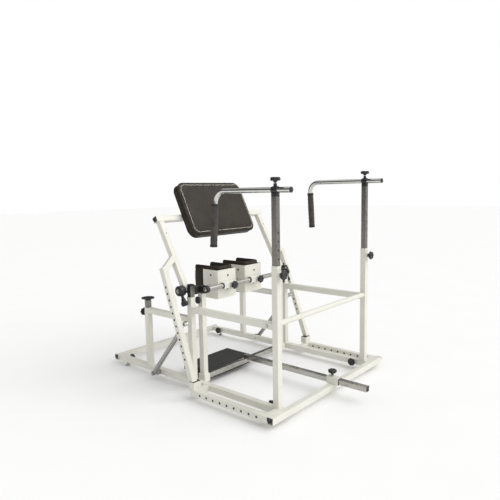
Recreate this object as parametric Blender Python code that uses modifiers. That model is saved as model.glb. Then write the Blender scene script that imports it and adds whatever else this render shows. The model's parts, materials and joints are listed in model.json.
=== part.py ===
"""Sit-to-stand frame: white side frames, sliding handles, a swinging seat and a knee rest on a carriage.

Metres, +Z up. The user stands facing -Y, so the user's right is -X. Inside the "chassis" empty, Y = 0 is
the front face of the base and Z = 0 the underside of its tubes. The empty puts the world origin on the
floor, under the middle of the whole frame.
"""

import math

import bmesh
import bpy
from mathutils import Matrix, Vector

GAP = 0.0003  # between pieces that touch
RUNNING = 0.0005  # beside a piece that slides or turns in another
LAP = 0.001  # how far a welded piece runs into its neighbour

# Tube sections
TUBE = 0.035
WALL = 0.002
CORNER = 0.003
INNER_CORNER = 0.002
BORE = TUBE - 2 * WALL
INNER = BORE - 2 * RUNNING
ROUND_BAR = 0.014
HALF = TUBE / 2
HALF_INNER = INNER / 2
LINK = TUBE - 2 * GAP  # so that a welded link's faces don't lie in its neighbours'
FINE_EDGE = 0.0015  # the eased edges of blocks, from the finest to the roundest
SOFT_EDGE = 0.003
ROUND_EDGE = 0.004
ARC = 0.5  # the profile of a bevel that is round

# Base
HALF_TRACK = 0.4425
OUTER_OFFSET = 0.105
OUTER_TRACK = HALF_TRACK + OUTER_OFFSET
BASE_LENGTH = 1.430
OUTER_LENGTH = 0.538
SPIGOT_LENGTH = 0.130
HOLE_RADIUS = 0.0045
OUTER_HOLES = 9
OUTER_PITCH = 0.050
FIRST_OUTER_HOLE = 0.1035
REAR_CROSSBAR_END = 0.0275  # beyond the side rail's centre line
FRONT_KNOB_Y = 0.130
REAR_KNOB_SETBACK = 0.108
STOP_BLOCK_WIDTH = 0.057
STOP_BLOCK_LENGTH = 0.042
STOP_BLOCK_HEIGHT = 0.043
STOP_BLOCK_REACH = 0.017
FOOT_HEIGHT = 0.028
FOOT_RADIUS = 0.018
FOOT_PAD_HEIGHT = 0.010
FOOT_ROD_RADIUS = 0.005
FOOT_NUT_RADIUS = 0.011
FOOT_NUT_HEIGHT = 0.008
FRONT_FOOT_Y = 0.060
REAR_FOOT_SETBACK = 0.103

# Uprights and upper rails
POST_Y = 0.0645
POST_TOP = 0.750
UPPER_RAIL_Z = 0.4475
UPPER_BAR_Z = 0.460
UPPER_BAR_RADIUS = 0.015
PIVOT_POST_Y = 0.6825
PIVOT_POST_TOP = 0.519
REAR_POST_Y = 1.0825
REAR_POST_TOP = 0.403
POST_KNOB_DROP = 0.042
STOP_KNOB_DROP = 0.034
BOSS = 0.022
BOSS_DEPTH = 0.008
BOLT_SETBACK = 0.031
BOLT_HEAD_RADIUS = 0.009
BOLT_HEAD_HEIGHT = 0.005

# Pivot head
PIVOT_Y = 0.720
PIVOT_Z = 0.556
STUB_BOTTOM = 0.350
STUB_TOP = 0.592
AXLE_RADIUS = 0.012
AXLE_TIP = 0.003  # beyond the hub
AXLE_SETBACK = 0.008  # inside the clamp block
HUB_RADIUS = 0.024
HUB_LENGTH = 0.038
HUB_GAP = 0.002  # beside the seat arm
HUB_SCREW_TILT = math.radians(23.2)
HUB_SCREW_RADIUS = 0.009
HUB_SCREW_NECK = 0.068
HUB_SCREW_HEAD_RADIUS = 0.017
HUB_SCREW_HEAD_HEIGHT = 0.020
CLAMP_BLOCK_WIDTH = 0.0325
CLAMP_BLOCK_LENGTH = 0.082
CLAMP_BLOCK_HEIGHT = 0.049
CLAMP_BLOCK_DROP = 0.025  # below the axle
CLAMP_BLOCK_SETIN = 0.0465  # inward of the side rail's centre line

# Seat arms: tilts are from the vertical, rearward
ARM_OFFSET = 0.005
ARM_X = HALF_TRACK + ARM_OFFSET
ARM_TILT = math.radians(28.4)
ARM_LENGTH = 0.470
ARM_HEEL = 0.012
LEVER_TOP_Y = 0.786
LEVER_TOP_Z = 0.674
LEVER_TILT = math.radians(19.7)
LEVER_BOTTOM_Z = 0.0815
LEVER_HOLES = 12
LEVER_PITCH = 0.0375
FIRST_LEVER_HOLE = 0.095
STRUT_HOLE = 6
CONNECTOR_START = 0.200
CONNECTOR_LAP = 0.0075  # between the connector's start and the arm's outer face

# Seat pad
SEAT_TILT = math.radians(26.0)
SEAT_CLEARANCE = 0.002  # in front of the crossbar
SEAT_CROSSBAR_END = 0.012  # beyond the arm's outer face
SEAT_WIDTH = 0.574
SEAT_LENGTH = 0.360
SEAT_THICKNESS = 0.055
SEAT_CORNER = 0.055
SEAT_CENTRE = 0.482
SEAT_DRAW = 0.006
SEAT_CROWN = 0.10
SEAT_EDGE_SHARE = 0.72  # the rim's thickness against the middle's
SEAT_CELLS = (7, 5, 1)

# Struts
STRUT_RADIUS = 0.014
STRUT_CLEARANCE = 0.016  # between strut and lever
STRUT_FOOT_Y = 0.977
STRUT_FOOT_Z = HALF
STRUT_LUG_LENGTH = 0.034
STRUT_LUG_HEIGHT = 0.030
STRUT_PIN_RADIUS = 0.006
STRUT_PIN_TIP = 0.004
STRUT_NUT_RADIUS = 0.010
STRUT_NUT_HEIGHT = 0.005
BARREL_LENGTH = 0.370
BARREL_START = 0.004
BARREL_NECK = 0.010
ROD_RADIUS = 0.005
ROD_INSIDE = 0.270
PISTON_LENGTH = 0.020

# Stop posts
STOP_POST_LENGTH = 0.300
STOP_REACH = 0.046
DISC_RADIUS = 0.040
DISC_THICKNESS = 0.006
DISC_HUB = 0.010
DISC_NECK_RADIUS = 0.016
DISC_FLARE_RADIUS = 0.026

# Handles
HANDLE_Z_RIGHT = 1.115
HANDLE_Z_LEFT = 1.160
HANDLE_FRONT_Y_RIGHT = -0.028
HANDLE_FRONT_Y_LEFT = -0.046
HANDLE_BACK_Y = 0.465
HANDLE_BEND = 0.064
HANDLE_SPLAY = math.radians(4.6)  # of the grips, outward
HANDLE_POST_LENGTH = 0.700
HANDLE_CLAMP_RADIUS = 0.018
HANDLE_CLAMP_LENGTH = 0.032
HANDLE_COLLAR = INNER + LAP
HANDLE_COLLAR_HEIGHT = 0.014
HANDLE_BOSS_RADIUS = 0.009
HANDLE_BOSS_TOP = 0.031  # above the bar's centre line
GRIP_RADIUS = 0.020
GRIP_START = 0.002  # below the bend
GRIP_LENGTH = 0.231
GRIP_END = 0.010
GRIP_GAP = 0.002
HANDLE_TUBE_WALL = 0.0015

# Carriage
SLIDE_Z = 0.053
SLIDE_FRONT_Y = -0.198
CROSS_Z = 0.028
CARRIAGE_LEAD = 0.011  # forward of the pivot posts
CARRIAGE_Y = PIVOT_POST_Y - CARRIAGE_LEAD
SLEEVE = 0.040
SLEEVE_LENGTH = 0.040
KNEE_POST_SETIN = 0.075  # inward of the side rail's centre line
KNEE_POST_X = HALF_TRACK - KNEE_POST_SETIN
KNEE_POST_TOP = 0.530
FOOT_BLOCK_WIDTH = 0.045
FOOT_BLOCK_LENGTH = 0.055
FOOT_BLOCK_HEIGHT = 0.050
GLIDE_CLEARANCE = 0.001
PLATE_SIDE_GAP = 0.015  # between the foot plate and a foot block
PLATE_GAP = 0.003  # behind the cross tube
PLATE_LEFT = 0.066  # its end past the slide tube
PLATE_LENGTH = 0.205
PLATE_TOP = 0.045
PLATE_THICKNESS = 0.034
PLATE_LIP = 0.030
LIP_THICKNESS = 0.0087

# Knee rest
KNEE_BAR_Y = 0.620
KNEE_BAR_Z = 0.560
KNEE_BAR_END = 0.002  # beyond a knee clamp
KNEE_CLAMP_RADIUS = 0.022
KNEE_CLAMP_WIDTH = 0.020
KNEE_CLAMP_REACH = 0.0225  # outward of the post's centre line
KNEE_STUB_LENGTH = 0.230
KNEE_KNOB_DROP = 0.036
BRIDGE_RISE = 0.018
BRIDGE_GAP = 0.005
BRIDGE_MARGIN = 0.004
KNEE_PAD_X_RIGHT = -0.187
KNEE_PAD_X_LEFT = 0.056
KNEE_PLATE_WIDTH = 0.160
KNEE_PLATE_FRONT = 0.640
KNEE_PLATE_DEPTH = 0.126
KNEE_PLATE_BOTTOM = 0.478
KNEE_PLATE_TOP = 0.650
KNEE_PLATE_THICKNESS = 0.003
KNEE_PLATE_CORNER = 0.006
SLIDER = 0.038
SLIDER_LEFT = 0.060
SLIDER_RIGHT = 0.045
KNEE_KNOB_X = 0.006
CUSHION_THICKNESS = 0.024
CUSHION_BOTTOM = 0.500
CUSHION_TOP = 0.675
CUSHION_BACK = 0.850
CUSHION_BEND = 0.030
CUSHION_NOSE = 0.004
# The wing's taper: (distance from the nose, share of the full size)
CUSHION_TAPER = ((0.0, 0.45), (0.006, 0.78), (0.020, 0.95), (0.055, 1.0), (0.090, 1.0))

# Knobs
STUD_RADIUS = 0.004
BOSS_KNOB = (0.025, 0.016, 0.013)  # radius, height of the head, height of the neck
BASE_KNOB = (0.022, 0.015, 0.010)
SLEEVE_KNOB = (0.025, 0.017, 0.020)
HANDLE_KNOB = (0.0255, 0.018, 0.012)
PAD_KNOB = (0.025, 0.016, 0.011)
KNOB_LOBES = 7
LOBE_DEPTH = 0.12  # share of the radius
KNOB_RINGS = ((0.0, 0.92), (0.7, 1.0), (1.0, 0.82))  # (share of the height, share of the radius)
NECK_SHARE = 0.4
NECK_TAPER = 0.75

# Sides of round shapes
KNOB_POINTS = 21
ROUND_SIDES = 20
MEDIUM_SIDES = 12
SMALL_SIDES = 8
HEX_SIDES = 6

SIDES = {-1: "right", 1: "left"}
HANDLE_Z = {-1: HANDLE_Z_RIGHT, 1: HANDLE_Z_LEFT}
HANDLE_FRONT_Y = {-1: HANDLE_FRONT_Y_RIGHT, 1: HANDLE_FRONT_Y_LEFT}
KNEE_PAD_X = {-1: KNEE_PAD_X_RIGHT, 1: KNEE_PAD_X_LEFT}
MIDDLE_Y = (SLIDE_FRONT_Y + BASE_LENGTH) / 2


def material(name, colour, roughness, metallic=0.0):
    made = bpy.data.materials.new(name)
    made.use_nodes = True
    shader = made.node_tree.nodes["Principled BSDF"]
    shader.inputs["Base Color"].default_value = (*colour, 1.0)
    shader.inputs["Roughness"].default_value = roughness
    shader.inputs["Metallic"].default_value = metallic
    return made


def clear_scene():
    for obj in list(bpy.data.objects):
        bpy.data.objects.remove(obj)


def collection(name, hidden=False):
    made = bpy.data.collections.new(name)
    made.hide_render = hidden
    bpy.context.scene.collection.children.link(made)
    return made


clear_scene()
PARTS = collection("sit_to_stand_frame")
CUTTERS = collection("cutters", hidden=True)
CHASSIS = bpy.data.objects.new("chassis", None)
CHASSIS.location = (0, -MIDDLE_Y, FOOT_HEIGHT)
PARTS.objects.link(CHASSIS)

WHITE = material("white_powder_coat", (0.83, 0.82, 0.74), 0.38)
CHROME = material("chrome", (0.62, 0.62, 0.60), 0.18, 1.0)
BLACK = material("black_plastic", (0.015, 0.015, 0.017), 0.42)
RUBBER = material("black_rubber", (0.020, 0.020, 0.020), 0.75)
VINYL = material("dark_vinyl", (0.045, 0.037, 0.026), 0.45)
ALUMINIUM = material("aluminium", (0.48, 0.48, 0.47), 0.35, 1.0)


# Shapes, each a helper object inside the chassis


def helper(name, mesh_data, matrix=None):
    mesh = bpy.data.meshes.new(name)
    bmesh.ops.recalc_face_normals(mesh_data, faces=mesh_data.faces)
    mesh_data.to_mesh(mesh)
    mesh_data.free()
    if matrix is not None:
        mesh.transform(matrix)
    obj = bpy.data.objects.new(name, mesh)
    obj.parent = CHASSIS
    obj.hide_render = True
    obj.display_type = "WIRE"
    CUTTERS.objects.link(obj)
    return obj


def along(start, end):
    """The matrix that takes +Z, from 0, to the line from start to end, with local X kept level."""
    start, end = Vector(start), Vector(end)
    z = (end - start).normalized()
    level = Vector((0, 1, 0)) if abs(z.x) > 0.99 else Vector((1, 0, 0))
    y = z.cross(level).normalized()
    x = y.cross(z)
    matrix = Matrix((x, y, z)).transposed().to_4x4()
    matrix.translation = start
    return matrix, (end - start).length


def bar(start, end, size=TUBE, corner=CORNER, roll=0.0):
    """A square bar, or with a pair of sizes an oblong one, with its long edges rounded."""
    matrix, length = along(start, end)
    matrix = matrix @ Matrix.Rotation(roll, 4, "Z")
    across, deep = size if isinstance(size, tuple) else (size, size)
    mesh = bmesh.new()
    bmesh.ops.create_cube(mesh, size=1.0)
    bmesh.ops.scale(mesh, vec=(across, deep, length), verts=mesh.verts)
    bmesh.ops.translate(mesh, vec=(0, 0, length / 2), verts=mesh.verts)
    if corner:
        rails = [e for e in mesh.edges if abs((e.verts[0].co - e.verts[1].co).z) > length / 2]
        bmesh.ops.bevel(mesh, geom=rails, offset=corner, segments=2, profile=ARC, affect="EDGES")
    return helper("bar", mesh, matrix)


def rod(start, end, radius, end_radius=None, sides=ROUND_SIDES):
    matrix, length = along(start, end)
    mesh = bmesh.new()
    bmesh.ops.create_cone(
        mesh,
        cap_ends=True,
        segments=sides,
        radius1=radius,
        radius2=radius if end_radius is None else end_radius,
        depth=length,
    )
    bmesh.ops.translate(mesh, vec=(0, 0, length / 2), verts=mesh.verts)
    return helper("rod", mesh, matrix)


def block(low, high, corner=FINE_EDGE):
    """A box from its lowest to its highest corner, with every edge rounded."""
    low, high = Vector(low), Vector(high)
    mesh = bmesh.new()
    bmesh.ops.create_cube(mesh, size=1.0)
    bmesh.ops.scale(mesh, vec=high - low, verts=mesh.verts)
    bmesh.ops.translate(mesh, vec=(low + high) / 2, verts=mesh.verts)
    if corner:
        bmesh.ops.bevel(mesh, geom=mesh.edges[:], offset=corner, segments=1, affect="EDGES")
    return helper("block", mesh)


def side_block(side, low, high, corner=FINE_EDGE):
    """The same, with X counted outward on the given side."""
    xs = sorted((side * low[0], side * high[0]))
    return block((xs[0], *low[1:]), (xs[1], *high[1:]), corner)


def cross_rod(side, x_start, x_end, y, z, radius, sides=ROUND_SIDES):
    """A rod along X, with X counted outward on the given side."""
    return rod((side * x_start, y, z), (side * x_end, y, z), radius, sides=sides)


# Pieces


def adopt(obj, name, look):
    """Makes an object one of the frame's pieces."""
    obj.name = name
    obj.data.name = name
    obj.hide_render = False
    obj.display_type = "TEXTURED"
    obj.data.materials.clear()
    obj.data.materials.append(look)
    for group in list(obj.users_collection):
        group.objects.unlink(obj)
    PARTS.objects.link(obj)
    obj.parent = CHASSIS
    obj.data.shade_smooth()
    obj.data.set_sharp_from_angle(angle=math.radians(35))
    return obj


def piece(name, look, solids, cuts=(), origin=(0, 0, 0)):
    """Joins solids, cuts from them, and puts the origin where asked: on the axis, if the piece moves."""
    base = solids[0]
    for operation, others in (("UNION", solids[1:]), ("DIFFERENCE", cuts)):
        for other in others:
            modifier = base.modifiers.new(operation.lower(), "BOOLEAN")
            modifier.operation = operation
            modifier.solver = "EXACT"
            modifier.object = other
    adopt(base, name, look)
    move_origin(base, origin)
    return base


def move_origin(obj, origin):
    obj.data.transform(Matrix.Translation(-Vector(origin)))
    obj.location = Vector(origin)


def as_mesh(curve_object):
    """A mesh piece in place of a curve, with its caps welded on."""
    bpy.context.view_layer.update()
    graph = bpy.context.evaluated_depsgraph_get()
    mesh = bpy.data.meshes.new_from_object(curve_object.evaluated_get(graph))
    mesh_data = bmesh.new()
    mesh_data.from_mesh(mesh)
    bmesh.ops.remove_doubles(mesh_data, verts=mesh_data.verts, dist=0.00001)
    obj = helper(curve_object.name, mesh_data)
    bpy.data.meshes.remove(mesh)
    bpy.data.objects.remove(curve_object)
    return obj


def swept(name, points, radius=0.0, profile=None, scales=None, smooth=2):
    """A tube or a profile along a line of points."""
    curve = bpy.data.curves.new(name, "CURVE")
    curve.dimensions = "3D"
    curve.use_fill_caps = True
    curve.bevel_resolution = smooth
    if profile is None:
        curve.bevel_depth = radius
    else:
        curve.bevel_mode = "OBJECT"
        curve.bevel_object = profile
        curve.twist_mode = "Z_UP"
    line = curve.splines.new("POLY")
    line.points.add(len(points) - 1)
    for index, point in enumerate(points):
        line.points[index].co = (*point, 1.0)
        line.points[index].radius = scales[index] if scales else 1.0
    obj = bpy.data.objects.new(name, curve)
    obj.hide_render = True
    CUTTERS.objects.link(obj)
    return as_mesh(obj)


def arc(centre, radius, start, end, steps):
    """Points on an arc in a plane, as pairs, from one angle to another."""
    angles = [start + (end - start) * step / steps for step in range(steps + 1)]
    return [(centre[0] + radius * math.cos(a), centre[1] + radius * math.sin(a)) for a in angles]


def lobed_head(radius, height):
    """A knob's head: a lobed disc with a chamfered, slightly crowned face, its base at Z = 0."""
    mesh = bmesh.new()
    rings = []
    for height_share, width_share in KNOB_RINGS:
        ring = []
        for step in range(KNOB_POINTS):
            angle = 2 * math.pi * step / KNOB_POINTS
            lobe = 1 - LOBE_DEPTH * (1 - math.cos(KNOB_LOBES * angle)) / 2
            reach = radius * width_share * lobe
            place = (reach * math.cos(angle), reach * math.sin(angle), height * height_share)
            ring.append(mesh.verts.new(place))
        rings.append(ring)
    for lower, upper in zip(rings, rings[1:]):
        for step in range(KNOB_POINTS):
            after = (step + 1) % KNOB_POINTS
            mesh.faces.new((lower[step], lower[after], upper[after], upper[step]))
    mesh.faces.new(rings[0][::-1])
    mesh.faces.new(rings[-1])
    return helper("head", mesh)


def knob_mesh(radius, height, neck, stud):
    """A star knob standing on Z = 0: stud below it, tapered neck, lobed head."""
    head = lobed_head(radius, height)
    head.data.transform(Matrix.Translation((0, 0, neck)))
    neck_radius = NECK_SHARE * radius
    collar = rod((0, 0, GAP), (0, 0, neck + LAP), NECK_TAPER * neck_radius, neck_radius, MEDIUM_SIDES)
    thread = rod((0, 0, -stud), (0, 0, neck / 2), STUD_RADIUS, sides=SMALL_SIDES)
    made = piece("knob", BLACK, [head, collar, thread])
    bpy.context.view_layer.update()
    graph = bpy.context.evaluated_depsgraph_get()
    mesh = bpy.data.meshes.new_from_object(made.evaluated_get(graph))
    bpy.data.objects.remove(made)
    return mesh


def knob(name, mesh, seat, axis):
    """A knob on a seat point, its axis pointing away from what it screws into."""
    obj = bpy.data.objects.new(name, mesh)
    obj.parent = CHASSIS
    obj.location = seat
    obj.rotation_euler = Vector(axis).to_track_quat("Z", "Y").to_euler()
    PARTS.objects.link(obj)
    return obj


# Places that several pieces share


def arm_point(reach, lift=0.0):
    """(Y, Z) at a distance up the upper arm from its pivot, and in front of its centre line."""
    y = PIVOT_Y + reach * math.sin(ARM_TILT) - lift * math.cos(ARM_TILT)
    z = PIVOT_Z + reach * math.cos(ARM_TILT) + lift * math.sin(ARM_TILT)
    return y, z


def lever_point(reach):
    """(Y, Z) at a distance down the lever from its top."""
    return LEVER_TOP_Y - reach * math.sin(LEVER_TILT), LEVER_TOP_Z - reach * math.cos(LEVER_TILT)


def on_side(side, x, place):
    return (side * x, *place)


RAIL_Z = HALF
RAIL_FRONT = TUBE + GAP
RAIL_REAR = BASE_LENGTH - TUBE - GAP
OUTER_REAR = TUBE + OUTER_LENGTH
POST_FOOT = TUBE + GAP
REAR_KNOB_Y = BASE_LENGTH - REAR_KNOB_SETBACK
POST_KNOB_Z = POST_TOP - POST_KNOB_DROP
STOP_KNOB_Z = REAR_POST_TOP - STOP_KNOB_DROP
KNEE_KNOB_Z = KNEE_POST_TOP - KNEE_KNOB_DROP
STUD_HOLE = STUD_RADIUS + RUNNING
KNOB_WALL = WALL - GAP
SLEEVE_TOP = TUBE + SLEEVE
SEAT_CROSSBAR = ARM_LENGTH - HALF
STRUT_TOP = lever_point(FIRST_LEVER_HOLE + STRUT_HOLE * LEVER_PITCH)
STRUT_X = OUTER_TRACK - HALF - STRUT_CLEARANCE - STRUT_RADIUS
HUB_INNER = ARM_X + HALF + HUB_GAP
HUB_OUTER = HUB_INNER + HUB_LENGTH
PLATE_RIGHT = -KNEE_POST_X + FOOT_BLOCK_WIDTH / 2 + PLATE_SIDE_GAP
KNEE_CLAMP_OUTER = KNEE_POST_X + KNEE_CLAMP_REACH
KNEE_CLAMP_INNER = KNEE_CLAMP_OUTER - KNEE_CLAMP_WIDTH
KNEE_BAR_HALF = KNEE_CLAMP_OUTER + KNEE_BAR_END


# Frame


def strut_lug(side):
    """The lug, pin and nut that carry a strut's foot."""
    middle = (STRUT_FOOT_Y, STRUT_FOOT_Z)
    half_length, half_height = STRUT_LUG_LENGTH / 2, STRUT_LUG_HEIGHT / 2
    rail_face = HALF_TRACK + HALF
    eye_start = STRUT_X - STRUT_RADIUS - RUNNING
    eye_end = STRUT_X + STRUT_RADIUS + 2 * RUNNING
    return [
        side_block(
            side,
            (rail_face - LAP, middle[0] - half_length, middle[1] - half_height),
            (eye_start, middle[0] + half_length, middle[1] + half_height),
        ),
        cross_rod(side, rail_face, eye_end + STRUT_PIN_TIP, *middle, STRUT_PIN_RADIUS, MEDIUM_SIDES),
        cross_rod(side, eye_end, eye_end + STRUT_NUT_HEIGHT, *middle, STRUT_NUT_RADIUS, HEX_SIDES),
    ]


def base_rail(side):
    inner, outer = side * HALF_TRACK, side * OUTER_TRACK
    solids = [
        bar((inner, RAIL_FRONT, RAIL_Z), (inner, RAIL_REAR, RAIL_Z)),
        bar((outer, RAIL_FRONT, RAIL_Z), (outer, OUTER_REAR, RAIL_Z)),
    ]
    cuts = [
        bar((inner, 0, RAIL_Z), (inner, BASE_LENGTH, RAIL_Z), BORE, 0),
        bar((outer, 0, RAIL_Z), (outer, OUTER_REAR + TUBE, RAIL_Z), BORE, 0),
    ]
    link_start = side * (HALF_TRACK + HALF - LAP)
    link_end = side * (OUTER_TRACK - HALF + LAP)
    for y in (RAIL_FRONT + HALF + GAP, OUTER_REAR - HALF - GAP):
        solids.append(bar((link_start, y, RAIL_Z), (link_end, y, RAIL_Z), LINK))
        bore_start = side * (HALF_TRACK + HALF + GAP)
        cuts.append(bar((bore_start, y, RAIL_Z), (outer, y, RAIL_Z), BORE - LAP, 0))
    block_outer = OUTER_TRACK + HALF - GAP
    block_rear = OUTER_REAR + STOP_BLOCK_REACH
    solids.append(
        side_block(
            side,
            (block_outer - STOP_BLOCK_WIDTH, block_rear - STOP_BLOCK_LENGTH, TUBE - LAP),
            (block_outer, block_rear, TUBE + STOP_BLOCK_HEIGHT),
        )
    )
    solids += strut_lug(side)
    for index in range(OUTER_HOLES):
        y = FIRST_OUTER_HOLE + index * OUTER_PITCH
        span = (OUTER_TRACK - TUBE, OUTER_TRACK + TUBE)
        cuts.append(cross_rod(side, *span, y, RAIL_Z, HOLE_RADIUS, sides=SMALL_SIDES))
    for y in (FRONT_KNOB_Y, REAR_KNOB_Y):
        span = (HALF_TRACK - TUBE, HALF_TRACK)
        cuts.append(cross_rod(side, *span, y, RAIL_Z, STUD_HOLE, sides=SMALL_SIDES))
    piece(f"base_rail_{SIDES[side]}", WHITE, solids, cuts)


def front_post(side):
    x = side * HALF_TRACK
    boss_front = POST_Y - HALF - BOSS_DEPTH
    solids = [
        bar((x, POST_Y, POST_FOOT), (x, POST_Y, POST_TOP)),
        bar((x, boss_front, POST_KNOB_Z), (x, POST_Y - HALF + LAP, POST_KNOB_Z), BOSS, INNER_CORNER),
    ]
    cuts = [
        bar((x, POST_Y, 0), (x, POST_Y, POST_TOP + TUBE), BORE, 0),
        rod((x, boss_front - LAP, POST_KNOB_Z), (x, POST_Y, POST_KNOB_Z), STUD_HOLE, sides=SMALL_SIDES),
    ]
    piece(f"front_post_{SIDES[side]}", WHITE, solids, cuts)


def upper_side_rail(side):
    x = side * HALF_TRACK
    start = POST_Y + HALF + GAP
    end = PIVOT_POST_Y - HALF - GAP
    face = HALF_TRACK + HALF
    bolt = (start + BOLT_SETBACK, UPPER_RAIL_Z, BOLT_HEAD_RADIUS)
    solids = [
        bar((x, start, UPPER_RAIL_Z), (x, end, UPPER_RAIL_Z)),
        cross_rod(side, face - LAP, face + BOLT_HEAD_HEIGHT, *bolt, MEDIUM_SIDES),
    ]
    cuts = [bar((x, start - TUBE, UPPER_RAIL_Z), (x, end + TUBE, UPPER_RAIL_Z), BORE, 0)]
    piece(f"upper_side_rail_{SIDES[side]}", WHITE, solids, cuts)


def rear_bay(side):
    """Pivot post, rear upper rail and rear post."""
    x = side * HALF_TRACK
    rail_z = REAR_POST_TOP - HALF
    rail_start = PIVOT_POST_Y + HALF - LAP
    boss_back = REAR_POST_Y + HALF + BOSS_DEPTH
    solids = [
        bar((x, PIVOT_POST_Y, POST_FOOT), (x, PIVOT_POST_Y, PIVOT_POST_TOP)),
        bar((x, REAR_POST_Y, POST_FOOT), (x, REAR_POST_Y, REAR_POST_TOP)),
        bar((x, rail_start, rail_z), (x, REAR_POST_Y - HALF + LAP, rail_z), LINK),
        bar((x, REAR_POST_Y + HALF - LAP, STOP_KNOB_Z), (x, boss_back, STOP_KNOB_Z), BOSS, INNER_CORNER),
    ]
    cuts = [
        bar((x, PIVOT_POST_Y, 0), (x, PIVOT_POST_Y, PIVOT_POST_TOP + TUBE), BORE, 0),
        bar((x, REAR_POST_Y, 0), (x, REAR_POST_Y, REAR_POST_TOP + TUBE), BORE, 0),
        bar((x, PIVOT_POST_Y + HALF + GAP, rail_z), (x, REAR_POST_Y, rail_z), BORE - LAP, 0),
        rod((x, REAR_POST_Y, STOP_KNOB_Z), (x, boss_back + LAP, STOP_KNOB_Z), STUD_HOLE, sides=SMALL_SIDES),
    ]
    piece(f"rear_bay_{SIDES[side]}", WHITE, solids, cuts)


def upper_crossbar():
    reach = HALF_TRACK - HALF - GAP
    place = (POST_Y, UPPER_BAR_Z)
    solid = rod((-reach, *place), (reach, *place), UPPER_BAR_RADIUS)
    bore = rod((-HALF_TRACK, *place), (HALF_TRACK, *place), UPPER_BAR_RADIUS - WALL)
    piece("upper_crossbar", WHITE, [solid], [bore])


def levelling_foot(side, end, y):
    """A nut under the rail, a threaded rod and a round pad on the floor."""
    x = side * HALF_TRACK
    nut_bottom = -FOOT_NUT_HEIGHT
    pad_top = FOOT_PAD_HEIGHT - FOOT_HEIGHT
    solids = [
        rod((x, y, nut_bottom), (x, y, -GAP), FOOT_NUT_RADIUS, sides=HEX_SIDES),
        rod((x, y, pad_top - LAP), (x, y, nut_bottom + LAP), FOOT_ROD_RADIUS, sides=MEDIUM_SIDES),
        rod((x, y, -FOOT_HEIGHT), (x, y, pad_top), FOOT_RADIUS, 0.5 * FOOT_RADIUS),
    ]
    piece(f"levelling_foot_{end}_{SIDES[side]}", CHROME, solids, origin=(x, y, 0))


def crossbar(name, y, inward, half_length, sleeve=False):
    """A base crossbar: a spigot at each end runs inside the side rail. Inward is +1 towards the rear."""
    solids = [bar((-half_length, y, RAIL_Z), (half_length, y, RAIL_Z))]
    cuts = [bar((-half_length - TUBE, y, RAIL_Z), (half_length + TUBE, y, RAIL_Z), BORE, 0)]
    face = y + inward * (HALF - LAP)
    for side in SIDES:
        x = side * HALF_TRACK
        tip = y + inward * (HALF + SPIGOT_LENGTH)
        solids.append(bar((x, face, RAIL_Z), (x, tip, RAIL_Z), INNER, INNER_CORNER))
        bore_start = y + inward * (HALF + LAP)
        cuts.append(bar((x, bore_start, RAIL_Z), (x, tip + inward * TUBE, RAIL_Z), INNER - 2 * WALL, 0))
    if sleeve:
        front = y - HALF
        half = SLEEVE / 2
        solids.append(block((-half, front, TUBE - LAP), (half, front + SLEEVE_LENGTH, SLEEVE_TOP)))
        cuts.append(bar((0, front - TUBE, SLIDE_Z), (0, front + SLEEVE_LENGTH + TUBE, SLIDE_Z), BORE, 0))
        middle = front + SLEEVE_LENGTH / 2
        cuts.append(rod((0, middle, SLIDE_Z), (0, middle, SLEEVE_TOP + LAP), STUD_HOLE, sides=SMALL_SIDES))
    piece(name, WHITE, solids, cuts, origin=(0, y, RAIL_Z))


def pivot_head(side):
    """Chrome stub in the pivot post, with the clamp block, the arm's axle, its hub and the hub's screw."""
    x = side * HALF_TRACK
    clamp_x = HALF_TRACK - CLAMP_BLOCK_SETIN
    clamp_y = PIVOT_POST_Y - HALF - LAP
    clamp_z = PIVOT_Z - CLAMP_BLOCK_DROP
    clamp_size = (CLAMP_BLOCK_WIDTH, CLAMP_BLOCK_LENGTH, CLAMP_BLOCK_HEIGHT)
    clamp = Vector((clamp_x, clamp_y, clamp_z))
    hub = Vector((side * (HUB_INNER + HUB_OUTER) / 2, PIVOT_Y, PIVOT_Z))
    way = Vector((0, -math.sin(HUB_SCREW_TILT), -math.cos(HUB_SCREW_TILT)))
    neck_end = hub + HUB_SCREW_NECK * way
    head_end = neck_end + HUB_SCREW_HEAD_HEIGHT * way
    axle = (clamp_x + AXLE_SETBACK, HUB_OUTER + AXLE_TIP, PIVOT_Y, PIVOT_Z)
    solids = [
        bar((x, PIVOT_POST_Y, STUB_BOTTOM), (x, PIVOT_POST_Y, STUB_TOP), INNER, INNER_CORNER),
        side_block(side, clamp, clamp + Vector(clamp_size), ROUND_EDGE),
        cross_rod(side, *axle, AXLE_RADIUS),
        cross_rod(side, HUB_INNER, HUB_OUTER, PIVOT_Y, PIVOT_Z, HUB_RADIUS),
        rod(hub, neck_end, HUB_SCREW_RADIUS, sides=MEDIUM_SIDES),
        rod(neck_end, head_end, HUB_SCREW_HEAD_RADIUS, sides=MEDIUM_SIDES),
    ]
    cuts = [
        bar((x, PIVOT_POST_Y, 0), (x, PIVOT_POST_Y, STUB_TOP - 2 * WALL), INNER - 2 * WALL, 0),
    ]
    piece(f"pivot_head_{SIDES[side]}", CHROME, solids, cuts)


# Seat


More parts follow.
